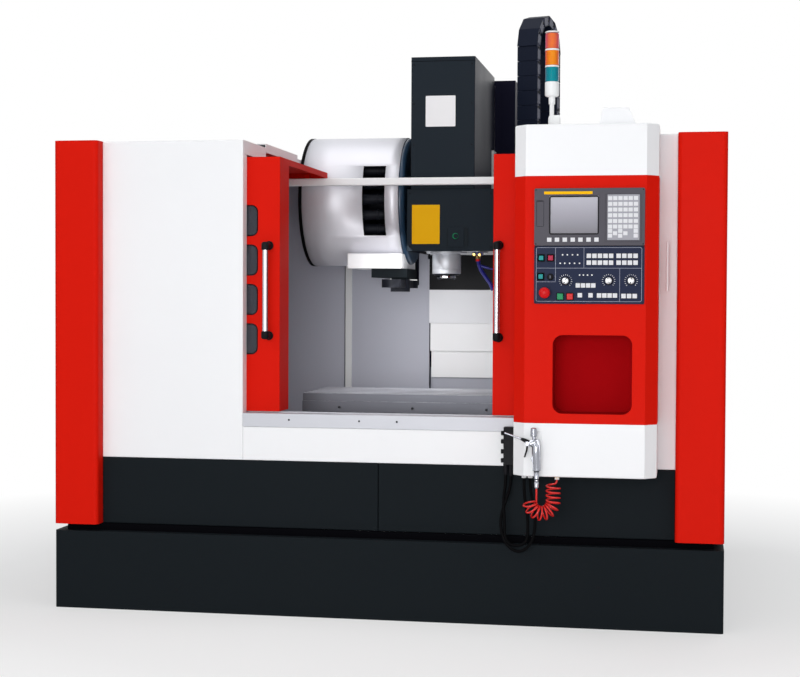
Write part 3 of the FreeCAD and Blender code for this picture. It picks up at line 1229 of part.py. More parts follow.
def coil_point(turn):
    """A point on the coil, counted in turns from its start."""
    point, along_axis, normal = coil_axis(COIL_LENGTH * turn / COIL_TURNS)
    side = along_axis.cross(normal)
    angle = math.radians(COIL_START_ANGLE) - 2 * math.pi * turn
    return point + normal * (COIL_RADIUS * math.cos(angle)) + side * (COIL_RADIUS * math.sin(angle))


def coil_tangent(turn):
    step = 1e-4
    tangent = coil_point(turn + step) - coil_point(turn - step)
    return tangent.normalize()


def biarc(p0, t0, p1, t1):
    """Two tangent arcs from one point and direction to the next."""
    v = p1 - p0
    t = t0 + t1
    a = v.dot(v)
    b = -2 * v.dot(t)
    c = 2 * (t0.dot(t1) - 1)
    d = (-b - math.sqrt(b * b - 4 * a * c)) / (2 * c)
    q0 = p0 + t0 * d
    q1 = p1 - t1 * d
    mid = (q0 + q1) * 0.5
    return [arc_from(p0, t0, mid), arc_from(mid, (q1 - q0).normalize(), p1)]


def arc_from(start, tangent, end):
    """The arc that leaves a point along a direction and reaches another point."""
    chord = end - start
    across = chord - tangent * chord.dot(tangent)
    if across.Length < 1e-6 * chord.Length:
        return Part.LineSegment(start, end).toShape()
    normal = across.normalize()
    radius = chord.dot(chord) / (2 * chord.dot(normal))
    centre = start + normal * radius
    middle = (start + end) * 0.5 - centre
    if middle.Length < 1e-9:
        middle = tangent
    through = centre + middle.normalize() * radius
    return Part.Arc(start, through, end).toShape()


def coil_path():
    """Port, bend into the coil, the windings, bend out of it and the run up to the air gun."""
    count = math.ceil(COIL_TURNS * POINTS_PER_TURN)
    turns = [COIL_TURNS * index / count for index in range(count + 1)]
    port = V(COIL_PORT.x, COIL_PORT.y, PENDANT_BOTTOM - 12)
    above = COIL_PORT + V(0, 0, COIL_TURN_OUT)
    gun = V(GUN_X, GUN_Y, GUN_HOSE_END)
    below = V(GUN_X, GUN_Y, COIL_SECOND.z + COIL_TURN_OUT)
    edges = [Part.LineSegment(port, above).toShape()]
    edges += biarc(above, V(0, 0, -1), coil_point(0), coil_tangent(0))
    for a, b in zip(turns, turns[1:]):
        edges += biarc(coil_point(a), coil_tangent(a), coil_point(b), coil_tangent(b))
    edges += biarc(coil_point(COIL_TURNS), coil_tangent(COIL_TURNS), below, V(0, 0, 1))
    edges.append(Part.LineSegment(below, gun).toShape())
    return Part.Wire(edges)


def section_at(point, direction, radius, sides):
    """A polygon with a round section's area, square to a direction."""
    helper = V(0, 1, 0) if abs(direction.y) < 0.9 else V(1, 0, 0)
    a = direction.cross(helper).normalize()
    b = direction.cross(a).normalize()
    reach = radius * math.sqrt(2 * math.pi / (sides * math.sin(2 * math.pi / sides)))
    ring = []
    for index in range(sides):
        angle = 2 * math.pi * index / sides
        ring.append(point + a * (reach * math.cos(angle)) + b * (reach * math.sin(angle)))
    return Part.makePolygon(ring + ring[:1])


def tube_along(path, radius, sides):
    start = path.OrderedEdges[0]
    point = path.OrderedVertexes[0].Point
    direction = start.tangentAt(start.FirstParameter)
    if (start.valueAt(start.FirstParameter) - point).Length > 1e-6:
        direction = -start.tangentAt(start.LastParameter)
    return path.makePipeShell([section_at(point, direction, radius, sides)], True, False)


def coiled_air_hose():
    path = coil_path()
    least = least_gap(path)
    print("coiled hose: length %.0f mm, least gap between turns %.2f mm" % (path.Length, least))
    tube = tube_along(path, COIL_TUBE, 6)
    print("volume against section x length: %.3f" % (tube.Volume / (math.pi * COIL_TUBE ** 2 * path.Length)))
    return tube


def least_gap(path):
    """Smallest distance between two stretches of the hose that aren't neighbours, less its width."""
    points = path.discretize(Number=1500)
    step = path.Length / 1499
    skip = int(6 * COIL_TUBE / step) + 1
    best = 1e9
    for i in range(0, len(points), 2):
        for j in range(i + skip, len(points), 2):
            best = min(best, (points[i] - points[j]).Length)
    return best - 2 * COIL_TUBE


def route(points, radius_note):
    """Straight runs joined by tangent arcs, each as large as its two runs allow."""
    p = [V(*q) for q in points]
    edges = []
    at = p[0]
    for a, b, c in zip(p, p[1:], p[2:]):
        u = (b - a).normalize()
        w = (c - b).normalize()
        turn = u.getAngle(w)
        cut = 0.45 * min((b - a).Length, (c - b).Length)
        radius = cut / math.tan(turn / 2)
        start = b - u * cut
        end = b + w * cut
        centre = start + (w - u * u.dot(w)).normalize() * radius
        through = centre + (b - centre).normalize() * radius
        edges.append(Part.LineSegment(at, start).toShape())
        edges.append(Part.Arc(start, through, end).toShape())
        at = end
        radius_note.append(radius)
    edges.append(Part.LineSegment(at, p[-1]).toShape())
    return Part.Wire(edges)


# Routes of the two service hoses, from gland to gland, chosen by eye
OUTER_HOSE = [(538, 30, 596), (538, 30, 556), (522, 6, 500), (504, -20, 440), (507, -38, 378),
              (534, -46, 322), (580, -50, 300), (622, -52, 326), (642, -54, 378), (645, -56, 436),
              (638, -58, 494), (HOSE_END_X[1], HOSE_END_Y, 552), (HOSE_END_X[1], HOSE_END_Y, 599)]
INNER_HOSE = [(517, 30, 600), (517, 30, 558), (511, 8, 506), (517, -18, 450), (521, -32, 396),
              (523, -38, 350), (548, -41, 327), (588, -44, 327), (613, -46, 350), (616, -50, 402),
              (613, -54, 456), (604, -58, 508), (HOSE_END_X[0], HOSE_END_Y, 556),
              (HOSE_END_X[0], HOSE_END_Y, 599)]


def service_hoses():
    hoses = []
    for name, points in (("outer", OUTER_HOSE), ("inner", INNER_HOSE)):
        radii = []
        path = route(points, radii)
        tube = tube_along(path, HOSE_RADIUS, 8)
        share = tube.Volume / (math.pi * HOSE_RADIUS ** 2 * path.Length)
        print("%s hose: %.0f mm long, least radius %.0f mm" % (name, path.Length, min(radii)))
        print("volume against section x length: %.3f" % share)
        hoses.append(tube)
    return group(hoses)


def air_regulator():
    """Filter and regulator unit beside the pendant, above the hoses' glands."""
    body = box(510, 551, 8, PANEL_FRONT - 2, 640, 790)
    bowls = [rod(10, (517, 30, 612), (517, 30, 640)), rod(10, (538, 30, 612), (538, 30, 640))]
    glands = [rod(9, (517, 30, 600), (517, 30, 612)), rod(9, (538, 30, 596), (538, 30, 612))]
    knobs = [rod(9, (498, 30, z), (510, 30, z)) for z in (656, 692, 732, 765)]
    tie = box(540, PENDANT_LEFT, 30, PANEL_FRONT - 2, 690, 730)
    return join([body, tie] + bowls + glands + knobs)


# ---- cable chain ----------------------------------------------------------------------------

def chain_places():
    """Y, Z and turn of every link's middle, up the front leg, over the bend and down the back leg."""
    places = []
    top = CHAIN_HEAD_END + CHAIN_FRONT_LINKS * CHAIN_PITCH
    for index in range(CHAIN_FRONT_LINKS):
        places.append((CHAIN_Y, CHAIN_HEAD_END + (index + 0.5) * CHAIN_PITCH, 0.0))
    for index in range(CHAIN_BEND_LINKS):
        angle = math.pi * (index + 0.5) / CHAIN_BEND_LINKS
        places.append((CHAIN_Y + CHAIN_RADIUS - CHAIN_RADIUS * math.cos(angle),
                       top + CHAIN_RADIUS * math.sin(angle), angle))
    for index in range(CHAIN_BACK_LINKS):
        places.append((CHAIN_Y + 2 * CHAIN_RADIUS, top - (index + 0.5) * CHAIN_PITCH, math.pi))
    return places


def chain_link(in_bend):
    """A link that runs up along Z: two waisted side plates under an outer and an inner lid."""
    half = CHAIN_PITCH / 2
    t = CHAIN_THICK / 2
    left, right = CHAIN_X - CHAIN_WIDTH / 2, CHAIN_X + CHAIN_WIDTH / 2
    side = 12
    plate_outline = [(-t + 2, -half + 6), (-t + 8, -half - 6), (t - 8, -half - 6), (t - 2, -half + 6),
                     (t - 2, half - 12), (t - 9, half + 2), (-t + 9, half + 2), (-t + 2, half - 12)]
    pieces = [prism_x(plate_outline, x, x + side) for x in (left, right - side)]
    spread = math.tan(math.pi / CHAIN_BEND_LINKS / 2) if in_bend else 0
    reach = CHAIN_RADIUS * spread if in_bend else half
    for y, way in ((-t, 1), (t - CHAIN_LID, -1)):
        lid = reach + way * t * spread - CHAIN_GAP
        pieces.append(box(left, right, y, y + CHAIN_LID, -lid, lid))
    return pieces


def cable_chain():
    """Closed energy chain, one link after another, turned in plan about its front leg."""
    solids = []
    for y, z, angle in chain_places():
        for piece in chain_link(0 < angle < 3):
            piece.rotate(V(0, 0, 0), V(1, 0, 0), -math.degrees(angle))
            piece.translate(V(0, y, z))
            solids.append(piece)
    chain = join(solids)
    chain.rotate(V(CHAIN_X, CHAIN_Y, 0), V(0, 0, 1), -CHAIN_TURN)
    return chain


# ---- rear cabinet ---------------------------------------------------------------------------

def electrical_cabinet():
    """Rear cabinet with a mounting plate inside, open to the back."""
    w = CABINET_WALL
    y0, y1 = ENCLOSURE_BACK, MACHINE_BACK - CABINET_HANDLE - CABINET_DOOR
    body = box(CABINET_LEFT, CABINET_RIGHT, y0, y1, PLINTH_TOP, CABINET_TOP)
    body = body.cut(box(CABINET_LEFT + w, CABINET_RIGHT - w, y0 + w, y1, PLINTH_TOP + w, CABINET_TOP - w))
    modules = []
    for row in range(3):
        z = PLINTH_TOP + 260 + row * 420
        modules.append(box(CABINET_LEFT + 90, CABINET_RIGHT - 90, y0 + w, y0 + w + 120, z, z + 220))
    x, y = CABINET_HINGE
    hinges = []
    for z in HINGE_LEVELS:
        hinges.append(rod(HINGE_RADIUS, (x, y, z - 30), (x, y, z - 0.5)))
        hinges.append(box(CABINET_RIGHT, x, y - 46, y, z - 30, z - 0.5))
    return join([body] + modules + hinges)


def electrical_cabinet_door():
    """Rear door with louvres and a lever handle."""
    y0 = MACHINE_BACK - CABINET_HANDLE - CABINET_DOOR + 0.5
    y1 = y0 + CABINET_DOOR - 0.5
    x0, x1 = CABINET_LEFT, CABINET_RIGHT
    leaf = box(x0, x1, y0, y1, PLINTH_TOP + 4, CABINET_TOP)
    leaf = fillet(leaf, BEND, lambda e: abs(e.CenterOfMass.y - y1) < 0.01)
    leaf = leaf.cut(box(x0 + SHEET, x1 - SHEET, y0, y1 - SHEET, PLINTH_TOP + 4 + SHEET, CABINET_TOP - SHEET))
    louvres = []
    middle = (x0 + x1) / 2
    for index in range(8):
        z = PLINTH_TOP + 140 + index * 30
        louvres.append(box(middle - 130, middle + 130, y1 - SHEET, y1, z, z + 10))
    leaf = leaf.cut(louvres)
    handle = join([box(x0 + 36, x0 + 60, y1, y1 + 5, 1080, 1230),
                   box(x0 + 41, x0 + 55, y1 + 5, MACHINE_BACK, 1110, 1215)])
    x, y = CABINET_HINGE
    hinges = []
    for z in HINGE_LEVELS:
        hinges.append(rod(HINGE_RADIUS, (x, y, z + 0.5), (x, y, z + 30)))
        hinges.append(box(CABINET_RIGHT - 4, x, y - 3, y + 3, z + 0.5, z + 30))
    return join([leaf, handle] + hinges)


NODES = [base_tray, levelling_feet, bed_casting, column_casting, guide_rails, chip_pan, skirt_panels,
         left_pillar, right_pillar, left_front_panel, right_front_panel, sill_panel, door_rail,
         left_cabinet_shell, right_cabinet_shell, rear_wall, cross_beam, pendant_cap, pendant_body,
         pendant_base_box, display_unit, display_screen, display_keys, control_panel, control_keys,
         signal_lamp_stem, signal_lamp_lenses, air_gun, air_gun_trigger, coiled_air_hose, service_hoses,
         electrical_cabinet, electrical_cabinet_door, magazine_cover, magazine_disc, changer_gearbox,
         changer_arm, cable_chain, head_cover, head_casting, z_cover_upper, z_cover_middle, z_cover_lower,
         spindle_cartridge, spindle_rotor, coolant_nozzles, saddle, table, left_door, left_door_windows,
         left_door_handle, right_door, right_door_windows, right_door_handle, emergency_stop,
         feed_override_knob, rapid_override_knob, spindle_override_knob, cycle_start_button,
         feed_hold_button]


def save(name, shape):
    shape.translate(V(0, -ORIGIN_BACK, 0))
    shape.exportStep(os.path.join("parts", name + ".step"))


def main():
    os.makedirs("parts", exist_ok=True)
    for make in NODES:
        save(make.__name__, make())


main()
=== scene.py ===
import math

import bpy
from mathutils import Matrix, Vector


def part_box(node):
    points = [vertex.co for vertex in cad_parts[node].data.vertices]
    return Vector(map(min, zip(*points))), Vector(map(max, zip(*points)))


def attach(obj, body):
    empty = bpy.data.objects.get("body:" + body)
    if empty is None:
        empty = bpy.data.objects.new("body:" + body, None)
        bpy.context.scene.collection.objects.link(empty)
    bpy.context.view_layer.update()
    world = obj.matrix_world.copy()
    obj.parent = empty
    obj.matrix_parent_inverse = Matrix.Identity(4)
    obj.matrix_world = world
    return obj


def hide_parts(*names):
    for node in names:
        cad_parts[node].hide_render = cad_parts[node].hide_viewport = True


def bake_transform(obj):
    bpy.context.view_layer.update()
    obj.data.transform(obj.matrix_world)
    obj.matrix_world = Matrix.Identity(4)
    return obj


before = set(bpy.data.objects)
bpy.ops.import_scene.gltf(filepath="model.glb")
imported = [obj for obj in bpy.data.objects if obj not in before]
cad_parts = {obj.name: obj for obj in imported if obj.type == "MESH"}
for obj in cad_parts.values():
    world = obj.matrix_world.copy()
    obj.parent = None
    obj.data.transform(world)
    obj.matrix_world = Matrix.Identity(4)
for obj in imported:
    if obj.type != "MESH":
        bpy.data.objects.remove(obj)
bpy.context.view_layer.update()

# Places are given as on the builder's drawing: millimetres, X from the middle of the machine,
# Y back from the tray's front face, Z up from the floor.
MM = 0.001
TRAY_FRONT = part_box("base_tray")[0][1]
MACHINE = "machine"
UP, DOWN, OUT, RIGHT = (0, 0, 1), (0, 0, -1), (0, -1, 0), (1, 0, 0)


def at(x, y, z):
    """A point of the drawing in the scene, in metres."""
    return Vector((x * MM, TRAY_FRONT + y * MM, z * MM))


# ---- nodes -----------------------------------------------------------------------------------

def math_node(nodes, links, kind, first, second=None, third=None):
    """One sum; each of its values is a number or a socket."""
    node = nodes.new("ShaderNodeMath")
    node.operation = kind
    for index, value in enumerate((first, second, third)):
        if value is None:
            continue
        if isinstance(value, (int, float)):
            node.inputs[index].default_value = value
        else:
            links.new(value, node.inputs[index])
    return node.outputs[0]


def map_range(nodes, links, value, start, end, low=0.0, high=1.0):
    """Turns a value's way from start to end into one from low to high."""
    node = nodes.new("ShaderNodeMapRange")
    for label, number in (("From Min", start), ("From Max", end), ("To Min", low), ("To Max", high)):
        node.inputs[label].default_value = number
    links.new(value, node.inputs["Value"])
    return node.outputs["Result"]


def mix_colours(nodes, links, share, first, second):
    """Mixes two colours, each given as three numbers or as a socket."""
    node = nodes.new("ShaderNodeMix")
    node.data_type = "RGBA"
    for label, colour in (("A", first), ("B", second)):
        if isinstance(colour, tuple):
            node.inputs[label].default_value = (*colour, 1)
        else:
            links.new(colour, node.inputs[label])
    links.new(share, node.inputs["Factor"])
    return node.outputs["Result"]


def mix_shaders(nodes, links, share, first, second, out):
    node = nodes.new("ShaderNodeMixShader")
    for index, value in enumerate((share, first.outputs[0], second.outputs[0])):
        links.new(value, node.inputs[index])
    links.new(node.outputs[0], out.inputs["Surface"])


def height_of(nodes, links, place):
    """The Z of a place."""
    split = nodes.new("ShaderNodeSeparateXYZ")
    links.new(place, split.inputs[0])
    return split.outputs["Z"]


# ---- stage and camera ------------------------------------------------------------------------

CAMERA_PLACE = (1237, -6300, 1304)
CAMERA_YAW, CAMERA_PITCH, CAMERA_ROLL = 10.31, 1.54, 0.26
CAMERA_LENS, CAMERA_SENSOR = 71.79, 36
CAMERA_SHIFT_Y = 0.0025
SKY_COLOUR, SKY_LIGHT = (0.93, 0.96, 1.0, 1), 0.30
FLOOR_COLOUR, FLOOR_REACH = (0.86, 0.86, 0.86, 1), 60
SHADOW_REACH, WHITE_REACH = 2.0, 4.0
# Each lamp: its place and the point it looks at in metres, width and height, power in watts.
LAMPS = {
    "front_lamp": ((0.2, -7.6, 1.5), (0, 0, 1.1), (3.6, 2.4), 200),
    "key_lamp": ((-3.5, -6.5, 4.6), (0, 0, 1.1), (4.0, 3.0), 68),
    "fill_lamp": ((5.0, -5.5, 3.2), (0, 0, 1.0), (3.5, 3.5), 42),
    "top_lamp": ((0, -0.5, 6.5), (0, 0, 1.2), (5.0, 4.0), 115),
    "back_lamp": ((2.5, 6.5, 4.5), (0, 0, 1.2), (4.0, 3.0), 92),
    "work_light": (at(-40, 960, 1100), at(90, 1700, 1050), (0.5, 0.3), 1.6),
    "side_light": (at(-60, 900, 1450), at(-560, 1350, 1000), (0.4, 0.3), 1.0),
    "table_light": (at(-120, 780, 1330), at(60, 900, 876), (0.7, 0.3), 1.8),
}


def make_camera():
    data = bpy.data.cameras.new("camera")
    data.lens = CAMERA_LENS
    data.sensor_width = CAMERA_SENSOR
    data.shift_y = CAMERA_SHIFT_Y
    data.clip_end = 100
    camera = bpy.data.objects.new("camera", data)
    yaw, pitch = math.radians(CAMERA_YAW), math.radians(CAMERA_PITCH)
    forward = Vector((-math.sin(yaw) * math.cos(pitch), math.cos(yaw) * math.cos(pitch), -math.sin(pitch)))
    turn = forward.to_track_quat("-Z", "Y").to_matrix().to_4x4()
    roll = Matrix.Rotation(math.radians(CAMERA_ROLL), 4, "Z")
    camera.matrix_world = Matrix.Translation(at(*CAMERA_PLACE)) @ turn @ roll
    bpy.context.collection.objects.link(camera)
    bpy.context.scene.camera = camera


def area_light(name, place, target, size, power):
    data = bpy.data.lights.new(name, "AREA")
    data.shape = "RECTANGLE"
    data.size, data.size_y = size
    data.energy = power
    light = bpy.data.objects.new(name, data)
    light.location = place
    light.rotation_mode = "QUATERNION"
    light.rotation_quaternion = (Vector(target) - Vector(place)).to_track_quat("-Z", "Y")
    bpy.context.collection.objects.link(light)


def backdrop_mask(nodes, links):
    """1 for the rays that show the backdrop: from the camera, off metal and through glass."""
    rays = nodes.new("ShaderNodeLightPath").outputs
    shown = math_node(nodes, links, "MAXIMUM", rays["Is Camera Ray"], rays["Is Glossy Ray"])
    return math_node(nodes, links, "MAXIMUM", shown, rays["Is Transmission Ray"])


def background(nodes, colour, strength):
    node = nodes.new("ShaderNodeBackground")
    node.inputs["Color"].default_value = colour
    node.inputs["Strength"].default_value = strength
    return node


def make_world():
    world = bpy.data.worlds.new("studio")
    bpy.context.scene.world = world
    world.use_nodes = True
    nodes, links = world.node_tree.nodes, world.node_tree.links
    nodes.clear()
    lit = background(nodes, SKY_COLOUR, SKY_LIGHT)
    seen = background(nodes, (1, 1, 1, 1), 1.0)
    out = nodes.new("ShaderNodeOutputWorld")
    mix_shaders(nodes, links, backdrop_mask(nodes, links), lit, seen, out)


def make_floor():
    """A white floor: it keeps the soft shadow near the machine and turns plain white farther off."""
    mesh = bpy.data.meshes.new("floor")
    reach = FLOOR_REACH
    corners = [(-reach, -reach, 0), (reach, -reach, 0), (reach, reach, 0), (-reach, reach, 0)]
    mesh.from_pydata(corners, [], [(0, 1, 2, 3)])
    floor = bpy.data.objects.new("floor", mesh)
    bpy.context.collection.objects.link(floor)
    material = bpy.data.materials.new("studio_floor")
    material.use_nodes = True
    nodes, links = material.node_tree.nodes, material.node_tree.links
    shader = nodes["Principled BSDF"]
    shader.inputs["Base Color"].default_value = FLOOR_COLOUR
    shader.inputs["Roughness"].default_value = 0.9
    shader.inputs["Specular IOR Level"].default_value = 0.0
    white = nodes.new("ShaderNodeEmission")
    place = nodes.new("ShaderNodeNewGeometry")
    far = nodes.new("ShaderNodeVectorMath")
    far.operation = "LENGTH"
    links.new(place.outputs["Position"], far.inputs[0])
    fade = map_range(nodes, links, far.outputs["Value"], SHADOW_REACH, WHITE_REACH, 0.5, 1.0)
    share = math_node(nodes, links, "MULTIPLY", fade, backdrop_mask(nodes, links))
    mix_shaders(nodes, links, share, shader, white, nodes["Material Output"])
    mesh.materials.append(material)


def make_studio():
    """White surroundings, five soft lamps and three small lights inside the machine."""
    make_world()
    make_floor()
    for name, (place, target, size, power) in LAMPS.items():
        area_light(name, place, target, size, power)
    bpy.context.scene.view_settings.view_transform = "Standard"


# ---- shared effects, as node groups ----------------------------------------------------------

FLOAT, COLOR, VECTOR = "NodeSocketFloat", "NodeSocketColor", "NodeSocketVector"
DUST_COLOUR, DUST_HEIGHT = (0.36, 0.33, 0.29), 0.55


def new_group(name, inputs, outputs):
    """An empty node group. inputs are (name, kind, value), outputs (name, kind)."""
    group = bpy.data.node_groups.new(name, "ShaderNodeTree")
    for label, kind, value in inputs:
        socket = group.interface.new_socket(label, in_out="INPUT", socket_type=kind)
        socket.default_value = value
    for label, kind in outputs:
        group.interface.new_socket(label, in_out="OUTPUT", socket_type=kind)
    start = group.nodes.new("NodeGroupInput")
    end = group.nodes.new("NodeGroupOutput")
    return group, start, end


def noise(nodes, links, scale, detail, stretch=None):
    """Noise in the object's own frame; stretch draws it out along an axis."""
    place = nodes.new("ShaderNodeTexCoord").outputs["Object"]
    if stretch:
        mapping = nodes.new("ShaderNodeMapping")
        mapping.inputs["Scale"].default_value = stretch
        links.new(place, mapping.inputs["Vector"])
        place = mapping.outputs["Vector"]
    texture = nodes.new("ShaderNodeTexNoise")
    texture.inputs["Detail"].default_value = detail
    if isinstance(scale, (int, float)):
        texture.inputs["Scale"].default_value = scale
    else:
        links.new(scale, texture.inputs["Scale"])
    links.new(place, texture.inputs["Vector"])
    return texture.outputs["Fac"]


def make_soft_edges():
    """Rounds hard edges to the light and finds them. Gives a normal and an edge mask."""
    group, start, end = new_group("soft_edges", [("Radius", FLOAT, 0.002)],
                                  [("Normal", VECTOR), ("Edge", FLOAT)])
    nodes, links = group.nodes, group.links
    bevel = nodes.new("ShaderNodeBevel")
    bevel.samples = 4
    links.new(start.outputs["Radius"], bevel.inputs["Radius"])
    flat = nodes.new("ShaderNodeNewGeometry")
    dot = nodes.new("ShaderNodeVectorMath")
    dot.operation = "DOT_PRODUCT"
    links.new(bevel.outputs["Normal"], dot.inputs[0])
    links.new(flat.outputs["Normal"], dot.inputs[1])
    away = math_node(nodes, links, "SUBTRACT", 1.0, dot.outputs["Value"])
    edge = math_node(nodes, links, "MULTIPLY", away, 9.0)
    edge = math_node(nodes, links, "MINIMUM", edge, 1.0)
    links.new(bevel.outputs["Normal"], end.inputs["Normal"])
    links.new(edge, end.inputs["Edge"])
    return group


def make_worn_colour():
    """Colour that varies a little, wears through at the edges and gathers dust near the floor."""
    inputs = [("Colour", COLOR, (0.8, 0.8, 0.8, 1)), ("Worn Colour", COLOR, (0.5, 0.5, 0.5, 1)),
              ("Edge", FLOAT, 0.0), ("Wear", FLOAT, 0.3), ("Variation", FLOAT, 0.06), ("Dust", FLOAT, 0.1)]
    group, start, end = new_group("worn_colour", inputs, [("Colour", COLOR), ("Rough Shift", FLOAT)])
    nodes, links = group.nodes, group.links
    broad = noise(nodes, links, 2.3, 4.0)
    centred = math_node(nodes, links, "SUBTRACT", broad, 0.5)
    shade = math_node(nodes, links, "MULTIPLY_ADD", centred, start.outputs["Variation"], 1.0)
    toned = nodes.new("ShaderNodeVectorMath")
    toned.operation = "SCALE"
    links.new(start.outputs["Colour"], toned.inputs[0])
    links.new(shade, toned.inputs["Scale"])
    fine = noise(nodes, links, 55.0, 5.0)
    broken = math_node(nodes, links, "GREATER_THAN", fine, 0.5)
    worn = math_node(nodes, links, "MULTIPLY", start.outputs["Edge"], broken)
    worn = math_node(nodes, links, "MULTIPLY", worn, start.outputs["Wear"])
    painted = mix_colours(nodes, links, worn, toned.outputs[0], start.outputs["Worn Colour"])
    place = nodes.new("ShaderNodeNewGeometry")
    low = map_range(nodes, links, height_of(nodes, links, place.outputs["Position"]), DUST_HEIGHT, 0.0)
    patch = noise(nodes, links, 9.0, 6.0)
    dust = math_node(nodes, links, "MULTIPLY", low, patch)
    dust = math_node(nodes, links, "MULTIPLY", dust, start.outputs["Dust"])
    links.new(mix_colours(nodes, links, dust, painted, DUST_COLOUR), end.inputs["Colour"])
    rough = math_node(nodes, links, "MULTIPLY_ADD", centred, 0.25, 0.0)
    rough = math_node(nodes, links, "ADD", rough, dust)
    links.new(rough, end.inputs["Rough Shift"])
    return group


def make_surface_height():
    """Height for the bump, from paint's orange peel."""
    inputs = [("Scale", FLOAT, 300.0), ("Amount", FLOAT, 0.2)]
    group, start, end = new_group("surface_height", inputs, [("Height", FLOAT)])
    nodes, links = group.nodes, group.links
    grain = noise(nodes, links, start.outputs["Scale"], 2.0)
    links.new(math_node(nodes, links, "MULTIPLY", grain, start.outputs["Amount"]), end.inputs["Height"])
    return group


def make_brushed_lines():
    """Fine lines along X, for ground and brushed metal."""
    outputs = [("Height", FLOAT), ("Shade", FLOAT)]
    group, start, end = new_group("brushed_lines", [("Amount", FLOAT, 0.3)], outputs)
    nodes, links = group.nodes, group.links
    lines = noise(nodes, links, 40.0, 4.0, (0.25, 14.0, 14.0))
    links.new(math_node(nodes, links, "MULTIPLY", lines, start.outputs["Amount"]), end.inputs["Height"])
    shade = math_node(nodes, links, "SUBTRACT", lines, 0.5)
    links.new(math_node(nodes, links, "MULTIPLY", shade, start.outputs["Amount"]), end.inputs["Shade"])
    return group


EFFECTS = {"edges": make_soft_edges(), "worn": make_worn_colour(), "height": make_surface_height(),
           "lines": make_brushed_lines()}


# ---- finishes --------------------------------------------------------------------------------

BUMP_DISTANCE = 0.0006
COAT_ROUGHNESS = 0.12


def use_effect(nodes, effect, values):
    """Places a shared effect in a material, with this material's own values."""
    node = nodes.new("ShaderNodeGroup")
    node.node_tree = EFFECTS[effect]
    for label, value in values.items():
        node.inputs[label].default_value = value
    return node


def finish(name, colour, rough, metal=0.0, wear=0.3, worn=None, variation=0.05, dust=0.0, peel=0.12,
           peel_scale=260.0, coat=0.0, edge=0.002, brushed=0.0, alpha=1.0, specular=0.35, above=None,
           painted_glow=None):
    """A procedural finish: varied colour, worn edges, and bump from peel or brushed lines.
    above is a height on the drawing, the colour over it and the height of the change between the
    two, used for painted shade and a painted reflection; painted_glow is the brighter colour painted into
    the middle of a coloured glass where it faces the eye: a painted glow, its darker edges painted shade."""
    material = bpy.data.materials.new(name)
    material.use_nodes = True
    nodes, links = material.node_tree.nodes, material.node_tree.links
    shader = nodes["Principled BSDF"]
    for label, value in (("Metallic", metal), ("Coat Weight", coat), ("Coat Roughness", COAT_ROUGHNESS),
                         ("Specular IOR Level", specular), ("Alpha", alpha)):
        shader.inputs[label].default_value = value
    edges = use_effect(nodes, "edges", {"Radius": edge})
    bare = worn or tuple(min(1, c * 1.2 + 0.02) for c in colour)
    paint = use_effect(nodes, "worn", {"Colour": (*colour, 1), "Worn Colour": (*bare, 1), "Wear": wear,
                                       "Variation": variation, "Dust": dust})
    links.new(edges.outputs["Edge"], paint.inputs["Edge"])
    # A painted change of colour with height, used for painted shade and a painted reflection.
    if above:
        limit, colour_above, change = above
        height = height_of(nodes, links, nodes.new("ShaderNodeTexCoord").outputs["Object"])
        share = map_range(nodes, links, height, (limit - change / 2) * MM, (limit + change / 2) * MM)
        links.new(mix_colours(nodes, links, share, colour, colour_above), paint.inputs["Colour"])
    # Painted glow: the middle of the glass, where it faces the eye, mixes towards the brighter colour.
    if painted_glow:
        facing = nodes.new("ShaderNodeLayerWeight")
        facing.inputs["Blend"].default_value = 0.35
        straight = math_node(nodes, links, "SUBTRACT", 1.0, facing.outputs["Facing"])
        straight = math_node(nodes, links, "POWER", straight, 2.6)
        links.new(mix_colours(nodes, links, straight, colour, painted_glow), paint.inputs["Colour"])
    links.new(paint.outputs["Colour"], shader.inputs["Base Color"])
    rough_now = math_node(nodes, links, "ADD", paint.outputs["Rough Shift"], rough)
    bump = nodes.new("ShaderNodeBump")
    bump.inputs["Distance"].default_value = BUMP_DISTANCE
    if brushed:
        relief = use_effect(nodes, "lines", {"Amount": brushed})
        rough_now = math_node(nodes, links, "ADD", rough_now, relief.outputs["Shade"])
    else:
        relief = use_effect(nodes, "height", {"Scale": peel_scale, "Amount": peel})
    links.new(relief.outputs["Height"], bump.inputs["Height"])
    links.new(rough_now, shader.inputs["Roughness"])
    links.new(edges.outputs["Normal"], bump.inputs["Normal"])
    links.new(bump.outputs["Normal"], shader.inputs["Normal"])
    return material


# Painted sheet and castings.
WHITE = finish("white_powder_coat", (0.86, 0.865, 0.88), 0.45, variation=0.02, dust=0.04,
               worn=(0.55, 0.56, 0.57))
RED = finish("red_powder_coat", (0.66, 0.009, 0.0025), 0.5, variation=0.04, worn=(0.46, 0.03, 0.015),
             specular=0.04)
BLACK = finish("black_textured_coat", (0.0085, 0.0115, 0.0140), 0.6, variation=0.10, peel=0.4,
               peel_scale=420.0, worn=(0.03, 0.035, 0.04), specular=0.04)
CHARCOAL = finish("charcoal_paint", (0.0150, 0.0215, 0.029), 0.55, variation=0.10, peel=0.3,
                  worn=(0.05, 0.06, 0.07), specular=0.05)
COVER_PLATE = finish("charcoal_cover_plate", (0.011, 0.016, 0.021), 0.5, variation=0.10, peel=0.3,
                     specular=0.05)
COLUMN_DARK = finish("column_sheet_dark", (0.0075, 0.0075, 0.019), 0.6, variation=0.10, peel=0.3,
                     specular=0.03)
